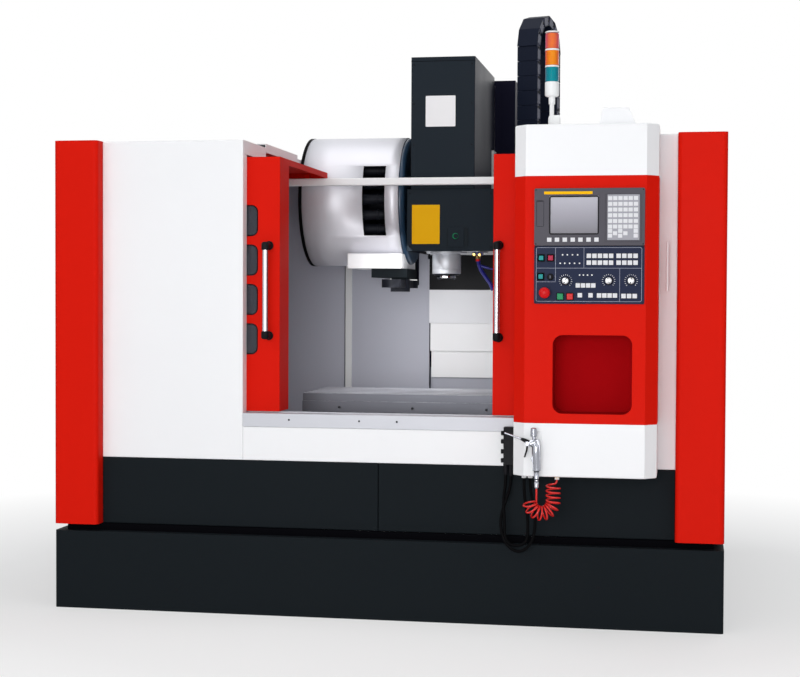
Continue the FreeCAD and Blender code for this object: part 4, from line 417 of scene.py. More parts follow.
# A darker copy of the head cover's charcoal for its right-facing side: painted shade.
HEAD_SIDE_SHADE = finish("head_side_painted_shade", (0.0085, 0.0095, 0.0185), 0.5, variation=0.10, peel=0.3,
                   specular=0.08)
INTERIOR = finish("interior_grey_paint", (0.40, 0.41, 0.475), 0.45, worn=(0.36, 0.37, 0.38))
CAST_WHITE = finish("painted_casting", (0.66, 0.67, 0.68), 0.5, variation=0.08, peel=0.9,
                    peel_scale=90.0, edge=0.005)
BEAM_WHITE = finish("beam_white", (0.92, 0.92, 0.93), 0.5, variation=0.02, specular=0.2)
# Above Z 1344 the way cover is painted near black: painted shade under the head, behind the spindle.
COVER_WHITE = finish("way_cover_white", (0.80, 0.81, 0.84), 0.45, variation=0.03, specular=0.1,
                     above=(1344, (0.003, 0.0035, 0.005), 2))
# A darker copy of the pendant's red for the pocket's walls: painted shade.
POCKET_SHADE_RED = finish("pocket_red_painted_shade", (0.36, 0.0020, 0.0040), 0.85, variation=0.06, peel=0.2,
                    specular=0.03)
BLUE = finish("dark_blue_paint", (0.018, 0.045, 0.085), 0.34, variation=0.08, coat=0.2)
YELLOW = finish("plate_yellow", (0.90, 0.47, 0.004), 0.5, variation=0.03, edge=0.0005, specular=0.05)
SEAM = finish("seam_shadow", (0.002, 0.002, 0.003), 0.8, edge=0.0005, specular=0.02,
              worn=(0.006, 0.006, 0.007))

# Bare and plated metal.
GROUND = finish("ground_steel", (0.46, 0.46, 0.46), 0.32, metal=1.0, variation=0.18, brushed=0.18,
                wear=0.5, worn=(0.62, 0.62, 0.6))
TABLE_IRON = finish("machined_iron", (0.145, 0.15, 0.175), 0.42, metal=0.5, variation=0.18,
                    brushed=0.16, wear=0.7, worn=(0.50, 0.50, 0.52))
SLOT_SHADOW_IRON = finish("slot_shadow_iron", (0.02, 0.02, 0.026), 0.6, variation=0.1, specular=0.1)
TABLE_LAND = finish("ground_table_top", (0.50, 0.51, 0.56), 0.4, metal=0.4, variation=0.12,
                    brushed=0.16, wear=0.5)
SHEET_STEEL = finish("stainless_sheet", (0.60, 0.61, 0.62), 0.34, metal=1.0, variation=0.10, brushed=0.14)
RAIL_STEEL = finish("rail_steel", (0.50, 0.51, 0.55), 0.42, metal=0.2, variation=0.08, brushed=0.14)
DRUM_SHEET = finish("brushed_drum_sheet", (0.74, 0.74, 0.79), 0.42, metal=0.25, variation=0.04,
                    brushed=0.08, wear=0.1)
CHROME = finish("bright_chrome", (0.82, 0.83, 0.84), 0.12, metal=1.0, variation=0.03, peel=0.02, wear=0.1)
GRIP_CHROME = finish("grip_chrome", (0.56, 0.57, 0.61), 0.2, metal=1.0, variation=0.03, peel=0.02,
                     wear=0.1)
SILVER = finish("cast_aluminium", (0.58, 0.58, 0.60), 0.26, metal=0.95, variation=0.15, peel=0.15)
# Near-black steel; on the magazine inside the drum it is also painted shade.
DARK_STEEL = finish("dark_steel_and_painted_shade", (0.008, 0.009, 0.013), 0.5, metal=0.1, variation=0.2,
                    worn=(0.05, 0.05, 0.06), specular=0.1)
SPINDLE_STEEL = finish("turned_steel", (0.56, 0.58, 0.62), 0.45, metal=0.5, brushed=0.10)
GUN_METAL = finish("gun_metal", (0.33, 0.34, 0.38), 0.2, metal=1.0, wear=0.1, variation=0.03)
BRASS = finish("fitting_brass", (0.62, 0.42, 0.14), 0.3, metal=1.0, variation=0.1, edge=0.001)

# Plastics, rubber and film.
UNIT_GREY = finish("unit_grey_plastic", (0.078, 0.074, 0.090), 0.5, variation=0.08, peel=0.4,
                   peel_scale=700.0, edge=0.001, specular=0.15)
PANEL_BLACK = finish("panel_navy_film", (0.010, 0.016, 0.045), 0.5, variation=0.08, edge=0.001,
                     specular=0.12)
PRINT_GREY = finish("print_grey", (0.30, 0.32, 0.40), 0.5, edge=0.0003)
POINTER = finish("pointer_white", (0.85, 0.85, 0.85), 0.5, edge=0.0005)
KEY_GREY = finish("key_grey_plastic", (0.70, 0.70, 0.73), 0.5, variation=0.08, edge=0.0008)
KEY_DARK = finish("key_dark_plastic", (0.33, 0.33, 0.37), 0.5, variation=0.1, edge=0.0008)
BLACK_PLASTIC = finish("black_plastic", (0.005, 0.005, 0.007), 0.45, variation=0.15, peel=0.25,
                       edge=0.0015, specular=0.10, worn=(0.03, 0.03, 0.035))
CHAIN_PLASTIC = finish("chain_plastic", (0.052, 0.056, 0.090), 0.5, variation=0.25, peel=0.25,
                       edge=0.0015, worn=(0.16, 0.17, 0.24), specular=0.15)
CHAIN_LID_PLASTIC = finish("chain_lid_plastic", (0.004, 0.007, 0.018), 0.55, variation=0.2, peel=0.25,
                           edge=0.0015, worn=(0.02, 0.025, 0.05), specular=0.10)
RUBBER = finish("black_rubber", (0.0025, 0.0025, 0.003), 0.6, variation=0.2, peel=0.3, edge=0.001,
                specular=0.03, worn=(0.01, 0.01, 0.01))
HOSE_RED = finish("hose_red", (0.66, 0.012, 0.008), 0.24, variation=0.1, peel=0.05, coat=0.2, edge=0.001)
NOZZLE_BLUE = finish("nozzle_blue", (0.006, 0.006, 0.16), 0.34, variation=0.08, edge=0.001)
LAMP_WHITE = finish("lamp_white_plastic", (0.86, 0.87, 0.87), 0.4, variation=0.03, edge=0.001)
BUTTON_RED = finish("button_red", (0.60, 0.006, 0.008), 0.3, variation=0.04, edge=0.001, specular=0.15)
BUTTON_GREEN = finish("button_green", (0.012, 0.26, 0.10), 0.3, variation=0.04, edge=0.001, specular=0.1)
BUTTON_TEAL = finish("button_teal", (0.006, 0.27, 0.27), 0.3, variation=0.04, edge=0.001, specular=0.1)
BUTTON_PINK = finish("button_pink", (0.42, 0.01, 0.05), 0.3, variation=0.04, edge=0.001, specular=0.1)

# Panes, the display and the lamp's lenses.
GLASS = finish("window_polycarbonate", (0.04, 0.045, 0.06), 0.08, peel=0.0, alpha=0.62, wear=0.0)
# The screen turns lighter towards its top: a painted reflection on its glass.
DISPLAY = finish("display_glass", (0.10, 0.095, 0.12), 0.2, peel=0.0, wear=0.0, specular=0.2,
                 above=(1625, (0.46, 0.45, 0.52), 190))
# Painted glow: each lens is brighter in its middle, yellow-orange on the orange and red ones, with darker
# edges as painted shade.
LENS_TEAL = finish("lens_teal", (0.0, 0.12, 0.20), 0.2, variation=0.06, specular=0.15,
                   painted_glow=(0.0, 0.30, 0.34))
LENS_ORANGE = finish("lens_orange", (0.72, 0.04, 0.004), 0.2, variation=0.06, specular=0.15,
                     painted_glow=(0.92, 0.34, 0.01))
LENS_RED = finish("lens_red", (0.52, 0.0, 0.12), 0.2, variation=0.06, specular=0.15,
                  painted_glow=(0.92, 0.22, 0.02))

# The finish of every node of the CAD model.
NODE_FINISH = {
    BLACK: ("base_tray", "skirt_panels", "changer_gearbox"),
    CAST_WHITE: ("bed_casting", "head_casting", "saddle"),
    COLUMN_DARK: ("column_casting",),
    GROUND: ("levelling_feet", "guide_rails", "spindle_cartridge"),
    SHEET_STEEL: ("chip_pan",),
    RED: ("left_pillar", "right_pillar", "pendant_body", "left_door", "right_door"),
    WHITE: ("left_front_panel", "right_front_panel", "sill_panel", "left_cabinet_shell",
            "right_cabinet_shell", "pendant_cap", "pendant_base_box", "electrical_cabinet",
            "electrical_cabinet_door", "magazine_cover", "z_cover_middle", "z_cover_lower"),
    RAIL_STEEL: ("door_rail",),
    INTERIOR: ("rear_wall",),
    BEAM_WHITE: ("cross_beam",),
    UNIT_GREY: ("display_unit",),
    DISPLAY: ("display_screen",),
    KEY_GREY: ("display_keys", "control_keys"),
    PANEL_BLACK: ("control_panel",),
    LAMP_WHITE: ("signal_lamp_stem",),
    LENS_ORANGE: ("signal_lamp_lenses",),
    GUN_METAL: ("air_gun",),
    BLACK_PLASTIC: ("air_gun_trigger", "feed_override_knob", "rapid_override_knob", "spindle_override_knob"),
    # Partly painted shade: the magazine disc and changer arm inside the drum are near black.
    DARK_STEEL: ("magazine_disc", "changer_arm"),
    CHAIN_PLASTIC: ("cable_chain",),
    CHARCOAL: ("head_cover",),
    COVER_WHITE: ("z_cover_upper",),
    CHROME: ("spindle_rotor", "left_door_handle", "right_door_handle"),
    NOZZLE_BLUE: ("coolant_nozzles",),
    TABLE_IRON: ("table",),
    GLASS: ("left_door_windows", "right_door_windows"),
    BUTTON_RED: ("emergency_stop", "feed_hold_button"),
    BUTTON_GREEN: ("cycle_start_button",),
    HOSE_RED: ("coiled_air_hose",),
    RUBBER: ("service_hoses",),
}
FOOT_SIDE, TRAY_RIM = 556, 325
TABLE_TOP, SLOT_FLOOR, TABLE_FRONT, TABLE_BACK = 876, 830, 650, 1130


def dress_nodes():
    for material, names in NODE_FINISH.items():
        for name in names:
            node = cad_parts[name]
            node.data.materials.clear()
            node.data.materials.append(material)
    foot_side, rim = at(FOOT_SIDE, 0, 0).x, at(0, 0, TRAY_RIM).z
    top, floor = at(0, 0, TABLE_TOP).z, at(0, 0, SLOT_FLOOR).z
    front, back = at(0, TABLE_FRONT, 0).y, at(0, TABLE_BACK, 0).y
    dress_part("pendant_base_box", BLACK_PLASTIC, lambda p, n: p.x < foot_side)
    # Painted shade: the faces inside the T-slots are near black.
    dress_part("table", SLOT_SHADOW_IRON, lambda p, n: floor < p.z < top - 0.6 * MM and front < p.y < back)
    dress_part("table", TABLE_LAND, lambda p, n: abs(p.z - top) < 0.3 * MM)
    # Painted shade: the tray's top face above the rim is near black, for the shaded gap under the skirt
    # panels.
    dress_part("base_tray", SEAM, lambda p, n: p.z > rim)
    # Painted shade: the head cover's right-facing faces take the darker copy of its charcoal.
    dress_part("head_cover", HEAD_SIDE_SHADE, lambda p, n: n.x > 0.7)


def dress_part(name, material, chosen):
    """A second finish for the faces of a node whose middle and normal pass the test."""
    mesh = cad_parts[name].data
    mesh.materials.append(material)
    for polygon in mesh.polygons:
        if chosen(polygon.center, polygon.normal):
            polygon.material_index = len(mesh.materials) - 1


# ---- mesh making -----------------------------------------------------------------------------

BLOCK_FACES = ((0, 1, 3, 2), (4, 6, 7, 5), (0, 4, 5, 1), (2, 3, 7, 6), (0, 2, 6, 4), (1, 5, 7, 3))
BAR_FACES = ((0, 1, 2, 3), (7, 6, 5, 4), (0, 4, 5, 1), (1, 5, 6, 2), (2, 6, 7, 3), (3, 7, 4, 0))
SMOOTH_BELOW = math.radians(38)


def mesh_from(name, points, faces):
    mesh = bpy.data.meshes.new(name)
    mesh.from_pydata([tuple(p) for p in points], [], faces)
    mesh.validate()
    return mesh


def shown(name, data, material):
    """An object in the scene, made of a mesh or a curve."""
    made = bpy.data.objects.new(name, data)
    bpy.context.collection.objects.link(made)
    data.materials.append(material)
    return made


def round_edges(made, width):
    rounding = made.modifiers.new("rounded_edges", "BEVEL")
    rounding.width = width * MM
    rounding.segments = 2
    rounding.limit_method = "ANGLE"


def sheet(made, thickness, offset):
    """Gives a surface the thickness of its sheet."""
    thick = made.modifiers.new("sheet", "SOLIDIFY")
    thick.thickness = thickness * MM
    thick.offset = offset


def piece(name, mesh, material, body=MACHINE, smooth=False, bevel=0.0):
    """Puts a mesh in the scene as a piece that rides on a body."""
    made = shown(name, mesh, material)
    if smooth:
        for polygon in mesh.polygons:
            polygon.use_smooth = True
        mesh.set_sharp_from_angle(angle=SMOOTH_BELOW)
    if bevel:
        round_edges(made, bevel)
    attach(made, body)
    return made


def cells_mesh(name, cells, cell_faces):
    """One mesh of many six-sided cells, each given by its eight points."""
    points, faces = [], []
    for corners in cells:
        faces += [[len(points) + i for i in face] for face in cell_faces]
        points += corners
    return mesh_from(name, points, faces)


def corners_of(span):
    """The corners of a block given as (x0, x1, y0, y1, z0, z1)."""
    x0, x1, y0, y1, z0, z1 = span
    return [(x, y, z) for x in (x0, x1) for y in (y0, y1) for z in (z0, z1)]


def blocks(name, spans, material, body=MACHINE, bevel=1.0):
    """Blocks on the drawing, as one piece."""
    cells = [[at(*corner) for corner in corners_of(span)] for span in spans]
    return piece(name, cells_mesh(name, cells, BLOCK_FACES), material, body, bevel=bevel)


def ring_frame(direction):
    """A direction of length one and two directions square to it."""
    direction = Vector(direction).normalized()
    helper = Vector((0, 0, 1)) if abs(direction.z) < 0.9 else Vector((1, 0, 0))
    across = direction.cross(helper).normalized()
    return direction, across, direction.cross(across).normalized()


def turned(name, items, material, body=MACHINE, steps=40):
    """One piece of turned parts. Each item is (start, direction, profile), with the profile's
    (distance along, radius) pairs in millimetres; the ends are closed."""
    points, faces = [], []
    for start, direction, profile in items:
        forward, across, up = ring_frame(direction)
        origin = at(*start)
        base = len(points)
        for along, radius in profile:
            for step in range(steps):
                angle = 2 * math.pi * step / steps
                points.append(origin + forward * along * MM
                              + (across * math.cos(angle) + up * math.sin(angle)) * radius * MM)
        for row in range(len(profile) - 1):
            for step in range(steps):
                a = base + row * steps + step
                b = base + row * steps + (step + 1) % steps
                faces.append((a, b, b + steps, a + steps))
        faces.append(tuple(base + step for step in reversed(range(steps))))
        last = base + (len(profile) - 1) * steps
        faces.append(tuple(last + step for step in range(steps)))
    return piece(name, mesh_from(name, points, faces), material, body, smooth=True)


def pipe(name, points, radius, material):
    """A hose through points of the drawing."""
    curve = bpy.data.curves.new(name, "CURVE")
    curve.dimensions = "3D"
    curve.bevel_depth = radius * MM
    curve.bevel_resolution = 4
    curve.resolution_u = 8
    curve.use_fill_caps = True
    spline = curve.splines.new("NURBS")
    spline.points.add(len(points) - 1)
    for target, point in zip(spline.points, points):
        target.co = (*at(*point), 1)
    spline.order_u = 3
    spline.use_endpoint_u = True
    made = shown(name, curve, material)
    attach(made, MACHINE)
    return made


CORNER_STEPS = 6


def rounded_outline(x0, x1, z0, z1, radius):
    """A rectangle with round corners, as (x, z) pairs."""
    points = []
    for cx, cz, first in ((x1 - radius, z1 - radius, 0), (x0 + radius, z1 - radius, 90),
                          (x0 + radius, z0 + radius, 180), (x1 - radius, z0 + radius, 270)):
        for step in range(CORNER_STEPS + 1):
            angle = math.radians(first + 90 * step / CORNER_STEPS)
            points.append((cx + radius * math.cos(angle), cz + radius * math.sin(angle)))
    return points


def frame_strip(name, spans, width, y0, y1, radius, material, body=MACHINE, bevel=0.8):
    """Rounded rectangular frames in the X-Z plane, such as window gaskets."""
    points, faces = [], []
    for x0, x1, z0, z1 in spans:
        outer = rounded_outline(x0 - width, x1 + width, z0 - width, z1 + width, radius + width)
        inner = rounded_outline(x0, x1, z0, z1, radius)
        count = len(outer)
        base = len(points)
        for y in (y0, y1):
            points += [at(x, y, z) for x, z in outer + inner]
        for i in range(count):
            j = (i + 1) % count
            of, inn, ob, inb = base, base + count, base + 2 * count, base + 3 * count
            faces += [(of + i, inn + i, inn + j, of + j), (ob + i, ob + j, inb + j, inb + i),
                      (of + i, of + j, ob + j, ob + i), (inn + i, inb + i, inb + j, inn + j)]
    return piece(name, mesh_from(name, points, faces), material, body, bevel=bevel)


def plate(name, edges, material, thick, radius):
    """A thin plate with rounded corners on the head's front."""
    outline = rounded_outline(*edges, radius)
    count = len(outline)
    points = [at(x, y, z) for y in (HEAD_FRONT - thick, HEAD_FRONT) for x, z in outline]
    faces = [tuple(range(count)), tuple(reversed(range(count, 2 * count)))]
    faces += [(i, (i + 1) % count, count + (i + 1) % count, count + i) for i in range(count)]
    piece(name, mesh_from(name, points, faces), material, "head")


def screw_profile(radius, height, crown, top):
    """A screw head: straight to height, then in to crown at top."""
    return [(0, radius), (height, radius), (top, crown)]


# ---- signal lamp -----------------------------------------------------------------------------

LAMP_X, LAMP_Y = 685, 100
LAMP_RADIUS, LAMP_LIP = 28, 26
LAMP_BASE, LENS_BOTTOM, LENS_HEIGHT, LENS_PITCH, LAMP_CAP = 2108, 2167, 60, 66, 2371
POLE_FOOT, POLE_NUT = 2004, 2078
LENS_RIBS = 16
ROOF = 1950


def signal_lamp():
    def on_pole(z, profile):
        return ((LAMP_X, LAMP_Y, z), UP, profile)

    top = LENS_BOTTOM + 3 * LENS_PITCH
    stand = [on_pole(POLE_FOOT, [(0, 9), (LAMP_BASE - POLE_FOOT, 9)]),
             on_pole(POLE_NUT, [(0, 11.5), (2, 13), (26, 13), (30, 10.5)]),
             on_pole(LAMP_BASE, [(0, 20), (3, LAMP_LIP), (6, LAMP_RADIUS), (56, LAMP_RADIUS),
                                 (59, LAMP_LIP)]),
             on_pole(top - 3, [(0, LAMP_LIP), (1, LAMP_RADIUS), (4, LAMP_RADIUS), (6, 24), (8, 12),
                               (LAMP_CAP - top + 3, 2)])]
    for index in range(1, 3):
        z = LENS_BOTTOM + index * LENS_PITCH - (LENS_PITCH - LENS_HEIGHT)
        stand.append(on_pole(z - 2.5, [(0, 26.5), (1, LAMP_RADIUS), (6, LAMP_RADIUS), (7.5, 26.5)]))
    lamp = turned("signal_lamp_stand", stand, LAMP_WHITE)
    foot = (LAMP_X - 2, LAMP_X + 40, LAMP_Y - 22, LAMP_Y + 22, ROOF, ROOF + 6)
    post = (LAMP_X + 6, LAMP_X + 34, LAMP_Y - 15, LAMP_Y + 15, ROOF + 6, ROOF + 84)
    blocks("signal_lamp_bracket", [foot, post], LAMP_WHITE, bevel=4)
    bend = [(0, 4), (2, 11), (6, 14), (46, 14), (54, 11.5), (58, 9)]
    arm = ((LAMP_X + 30, LAMP_Y, ROOF + 46), (-1, 0, 0), [(0, 13), (34, 12)])
    turned("signal_lamp_elbow", [on_pole(ROOF + 26, bend), arm], LAMP_WHITE)
    for index, glass in enumerate((LENS_TEAL, LENS_ORANGE, LENS_RED)):
        ribs = [(0, LAMP_LIP)]
        for step in range(LENS_RIBS):
            low = 0.8 + (LENS_HEIGHT - 1.6) * step / LENS_RIBS
            ribs += [(low, 26.6), (low + 1.5, 27.4)]
        ribs.append((LENS_HEIGHT, LAMP_LIP))
        place = on_pole(LENS_BOTTOM + index * LENS_PITCH, ribs)
        turned("signal_lamp_lens_%d" % (index + 1), [place], glass)
    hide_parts("signal_lamp_stem", "signal_lamp_lenses")


# ---- cable chain -----------------------------------------------------------------------------

CHAIN_X, CHAIN_Y = 452, 1500
CHAIN_TURN = math.radians(15)
CHAIN_WIDTH, CHAIN_THICK, CHAIN_LID, CHAIN_GAP = 105, 46, 4, 1.5
CHAIN_RADIUS, CHAIN_PITCH, CHAIN_HEAD_END = 140, 72, 1738
CHAIN_FRONT_LINKS, CHAIN_BEND_LINKS, CHAIN_BACK_LINKS = 11, 6, 8


def chain_places():
    """Distance behind the front leg, height and turn of every link's middle."""
    top = CHAIN_HEAD_END + CHAIN_FRONT_LINKS * CHAIN_PITCH
    places = [(0, CHAIN_HEAD_END + (i + 0.5) * CHAIN_PITCH, 0.0) for i in range(CHAIN_FRONT_LINKS)]
    for index in range(CHAIN_BEND_LINKS):
        angle = math.pi * (index + 0.5) / CHAIN_BEND_LINKS
        places.append((CHAIN_RADIUS * (1 - math.cos(angle)), top + CHAIN_RADIUS * math.sin(angle), angle))
    back = 2 * CHAIN_RADIUS
    return places + [(back, top - (i + 0.5) * CHAIN_PITCH, math.pi) for i in range(CHAIN_BACK_LINKS)]


def chain_point(across, depth, z):
    """A point of the chain's own upright plane, which stands turned on the drawing."""
    cosine, sine = math.cos(CHAIN_TURN), math.sin(CHAIN_TURN)
    return at(CHAIN_X + across * cosine + depth * sine, CHAIN_Y - across * sine + depth * cosine, z)


def chain_piece(name, straight_spans, material, bend_spans):
    """Blocks given in a link's own frame, repeated for every link."""
    cells = []
    for depth, z, angle in chain_places():
        turn = Matrix.Rotation(-angle, 3, "X")
        for span in bend_spans if 0 < angle < math.pi else straight_spans:
            corners = [turn @ Vector(corner) for corner in corners_of(span)]
            cells.append([chain_point(p.x, depth + p.y, z + p.z) for p in corners])
    made = shown(name, cells_mesh(name, cells, BLOCK_FACES), material)
    round_edges(made, 0.9)
    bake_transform(made)
    return made


def cable_chain():
    """Closed chain: side plates, a lid inside and outside each link, hinge lugs and pins."""
    half, t, w = CHAIN_PITCH / 2, CHAIN_THICK / 2, CHAIN_WIDTH / 2
    plates, pins = [], []
    for side in (-1, 1):
        outer, inner = sorted((side * (w - 1), side * (w - 9)))
        plates.append((outer, inner, -t + 2, t - 2, -half + 9, half - 17))
        near, far = sorted((side * (w - 5), side * (w - 12)))
        plates.append((near, far, -t + 6, t - 6, half - 22, half + 13))
        near, far = sorted((side * (w - 4), side * (w - 0.2)))
        pins.append((near, far, -5, 5, half - 12, half - 2))
    links = chain_piece("chain_side_plates", plates, CHAIN_PLASTIC, plates)
    spread = math.tan(math.pi / CHAIN_BEND_LINKS / 2)
    straight, bent = [], []
    for y, way in ((-t, 1), (t - CHAIN_LID, -1)):
        for spans, reach in ((straight, half), (bent, CHAIN_RADIUS * spread + way * t * spread)):
            reach -= CHAIN_GAP / 2
            spans.append((-w, w, y, y + CHAIN_LID, -reach, reach))
    chain_piece("chain_lids", straight, CHAIN_LID_PLASTIC, bent)
    chain_piece("chain_pins", pins, BLACK_PLASTIC, pins)
    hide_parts("cable_chain")


# ---- doors -----------------------------------------------------------------------------------

WINDOW_WIDTH, WINDOW_HEIGHT, WINDOW_PITCH, WINDOW_ROUND, WINDOW_TOP = 300, 129, 163.5, 28, 1685
WINDOW_FROM_EDGE, GASKET_LAP, GASKET_WIDTH = 93, 5, 4
DOOR_FACE = 110
HANDLE_BOTTOM, HANDLE_TOP, HANDLE_FROM_FACE, HANDLE_RADIUS = 1148, 1513, 60, 11.6
LEFT_DOOR_EDGE, RIGHT_DOOR_EDGE = -436, 452
LEFT_HANDLE_X, RIGHT_HANDLE_X = -482, 475


def door_details(body, edge, side, handle_x):
    """Window gaskets, and the grip with its elbows and screws. side is the way from the door's
    edge to its windows."""
    near = edge + side * WINDOW_FROM_EDGE
    left, right = sorted((near, near + side * WINDOW_WIDTH))
    lap = GASKET_LAP
    tops = [WINDOW_TOP - index * WINDOW_PITCH for index in range(4)]
    spans = [(left + lap, right - lap, top - WINDOW_HEIGHT + lap, top - lap) for top in tops]
    frame_strip(body + "_gaskets", spans, GASKET_WIDTH, DOOR_FACE - 1, DOOR_FACE + 1, WINDOW_ROUND - lap,
                RUBBER, body)
    y = DOOR_FACE - HANDLE_FROM_FACE
    bar = [(0, HANDLE_RADIUS), (HANDLE_TOP - HANDLE_BOTTOM, HANDLE_RADIUS)]
    grip = turned(body + "_grip", [((handle_x, y, HANDLE_BOTTOM), UP, bar)], GRIP_CHROME, body)
    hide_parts(body + "_handle")
    elbows = []
    for z, way in ((HANDLE_BOTTOM, -1), (HANDLE_TOP, 1)):
        elbows.append(((handle_x, y, z - way * 16), (0, 0, way),
                       [(0, 13), (2, 16), (26, 16), (32, 12), (34, 5)]))
        elbows.append(((handle_x, y, z + way * 4), (0, 1, 0),
                       [(0, 14), (44, 12.5), (52, 14), (54, 18), (60, 19)]))
    turned(body + "_grip_elbows", elbows, BLACK_PLASTIC, body)
    screws = [((handle_x + dx, y + 58, z), OUT, screw_profile(2.6, 1.6, 1.8, 2.2))
              for z in (HANDLE_BOTTOM - 4, HANDLE_TOP + 4) for dx in (-14, 14)]
    turned(body + "_grip_screws", screws, CHROME, body, steps=12)


# ---- pendant ---------------------------------------------------------------------------------

PENDANT_FRONT = -159
PANEL_FACE, UNIT_FACE = -165, -171
PANEL_LEFT, PANEL_RIGHT, PANEL_LOW, PANEL_HIGH = 653.2, 1052.8, 1293.2, 1497.8
PRINT_WIDTH, PRINT_HEIGHT = 1.6, 0.25
# Rows of keys: the first key's X, the pitch, how many, and their Z.
KEY_ROWS = ((853.3, 21.1, 5, 1467), (853.3, 21.1, 5, 1440.8), (966.3, 21.3, 4, 1467),
            (966.3, 21.3, 4, 1440.8), (812, 19.6, 4, 1353.8), (820.2, 40.7, 2, 1316.3),
            (893.2, 20, 4, 1315.6), (985.8, 21.1, 3, 1314))
KEY_HALF, KEY_PROUD, KEY_WELL_HALF = 8.6, 1.6, 9.6
LAMP_ROWS = ((1470.8, (753.2, 771.3, 790.9, 810.4)), (1438.5, (744.2, 761.5, 780.3, 799.1, 817.9)),
             (1393.5, (818.7, 833, 848.8, 865.4)))
TEAL_PLACES, PINK_PLACE = [(671.2, 1458.8), (669.7, 1387.5)], (707.3, 1458.8)
POWER_PLACES = [(745, 1311), (782, 1311)]
BUTTON_HALF, PINK_HALF, BUTTON_PROUD, BUTTON_WELL_HALF, BEZEL_HALF = 8.6, 9.4, 6, 12.8, 12.6
KEY_SWITCH_X, KEY_SWITCH_Z = 706.6, 1386
STOP_X, STOP_Z = 687, 1325
# Each knob: its X and Z, and how far its pointer is turned.
KNOBS = {"feed_override_knob": (765, 1371, 0.5), "rapid_override_knob": (929, 1372, -0.35),
         "spindle_override_knob": (1014, 1372, 0.2)}
TICK_COUNT, TICK_FROM, TICK_TO, TICK_HALF = 15, 21, 25.5, 0.7
POINTER_REACH, POINTER_HALF = 11.5, 1.3


def square_caps(name, places, half, proud, material):
    """Square blocks on the panel's face."""
    spans = [(x - half, x + half, PANEL_FACE - proud, PANEL_FACE, z - half, z + half) for x, z in places]
    return blocks(name, spans, material, bevel=0.7)


def printed_lines(name, spans):
    """Thin printed lines on the panel's face, each (x0, x1, z0, z1) of its middle line."""
    half = PRINT_WIDTH / 2
    blocks(name, [(x0 - half, x1 + half, PANEL_FACE - PRINT_HEIGHT, PANEL_FACE, z0 - half, z1 + half)
                  for x0, x1, z0, z1 in spans], PRINT_GREY, bevel=0)


def panel_keys():
    """The panel's keys, each in its dark gap."""
    places = [(x + pitch * i, z) for x, pitch, count, z in KEY_ROWS for i in range(count)]
    keys = square_caps("panel_keys", places, KEY_HALF, KEY_PROUD, KEY_GREY)
    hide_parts("control_keys")
    half = KEY_WELL_HALF
    wells = [(x - half, x + half, PANEL_FACE - 0.5, PANEL_FACE, z - half, z + half) for x, z in places]
    blocks("panel_key_wells", wells, SEAM, bevel=0.3)


def panel_print():
    """The lines that part the panel into fields, and the line round it."""
    middle, low, first, second, third = 1419.8, 1367.3, 726, 834.5, 970.8
    top, bottom = PANEL_HIGH + PRINT_WIDTH / 2, PANEL_LOW + PRINT_WIDTH / 2
    left, right = PANEL_LEFT - PRINT_WIDTH / 2, PANEL_RIGHT + PRINT_WIDTH / 2
    printed_lines("printed_fields", [(left, right, middle, middle), (left, first, low, low),
                                     (first, first, low, top), (second, second, middle, top),
                                     (third, third, bottom, middle)])
    frame_strip("printed_outline", [(PANEL_LEFT, PANEL_RIGHT, PANEL_LOW, PANEL_HIGH)], PRINT_WIDTH,
                PANEL_FACE - PRINT_HEIGHT, PANEL_FACE, 6, PRINT_GREY, bevel=0)


def panel_buttons():
    """Square buttons in their bezels, small lamps, the key switch and the emergency stop."""
    square_caps("teal_buttons", TEAL_PLACES, BUTTON_HALF, BUTTON_PROUD, BUTTON_TEAL)
    square_caps("pink_button", [PINK_PLACE], PINK_HALF, BUTTON_PROUD, BUTTON_PINK)
    half = BEZEL_HALF
    upper = TEAL_PLACES + [PINK_PLACE]
    frame_strip("square_button_bezels", [(x - half, x + half, z - half, z + half)
                                         for x, z in upper + POWER_PLACES],
                2.2, PANEL_FACE - 3, PANEL_FACE, 2, BLACK_PLASTIC, bevel=0.4)
    square_caps("square_button_wells", upper, BUTTON_WELL_HALF, 0.8, SEAM)
    turned("panel_lamps", [((x, PANEL_FACE, z), OUT, screw_profile(3, 1.2, 1.6, 2))
                           for z, row in LAMP_ROWS for x in row], LAMP_WHITE, steps=14)
    x, z = KEY_SWITCH_X, KEY_SWITCH_Z
    turned("key_switch", [((x, PANEL_FACE, z), OUT, [(0, 13), (2, 13), (3, 11), (9, 10.6), (9.6, 9)])],
           BLACK_PLASTIC)
    blocks("key_switch_slot", [(x - 1, x + 1, PANEL_FACE - 9.9, PANEL_FACE - 9.4, z - 5, z + 5)],
           PRINT_GREY, bevel=0)
    head = [(22, 14), (22, 19), (26, 21), (34, 21), (40, 18), (43, 13), (45, 5)]
    stem = ((STOP_X, PANEL_FACE + 6, STOP_Z), OUT, [(0, 11), (29, 11)])
    stop = turned("emergency_stop_mushroom", [((STOP_X, PANEL_FACE, STOP_Z), OUT, head), stem],
                  BUTTON_RED, "emergency_stop", steps=48)
    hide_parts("emergency_stop")
    collar = [(0, 19), (3, 19), (8, 15), (10, 14.5), (10, 11.6), (0, 11.6)]
    turned("emergency_stop_collar", [((STOP_X, PANEL_FACE, STOP_Z), OUT, collar)], BLACK_PLASTIC, steps=48)


def ray_bar(x, z, angle, start, end, half, low, high):
    """The corners of a bar that points away from a dial's middle, low to high off the panel."""
    ray = Vector((math.sin(angle), math.cos(angle)))
    side = Vector((ray.y, -ray.x))
    corners = []
    for proud in (low, high):
        for along, across in ((start, -half), (end, -half), (end, half), (start, half)):
            p = ray * along + side * across
            corners.append(at(x + p.x, PANEL_FACE - proud, z + p.y))
    return corners


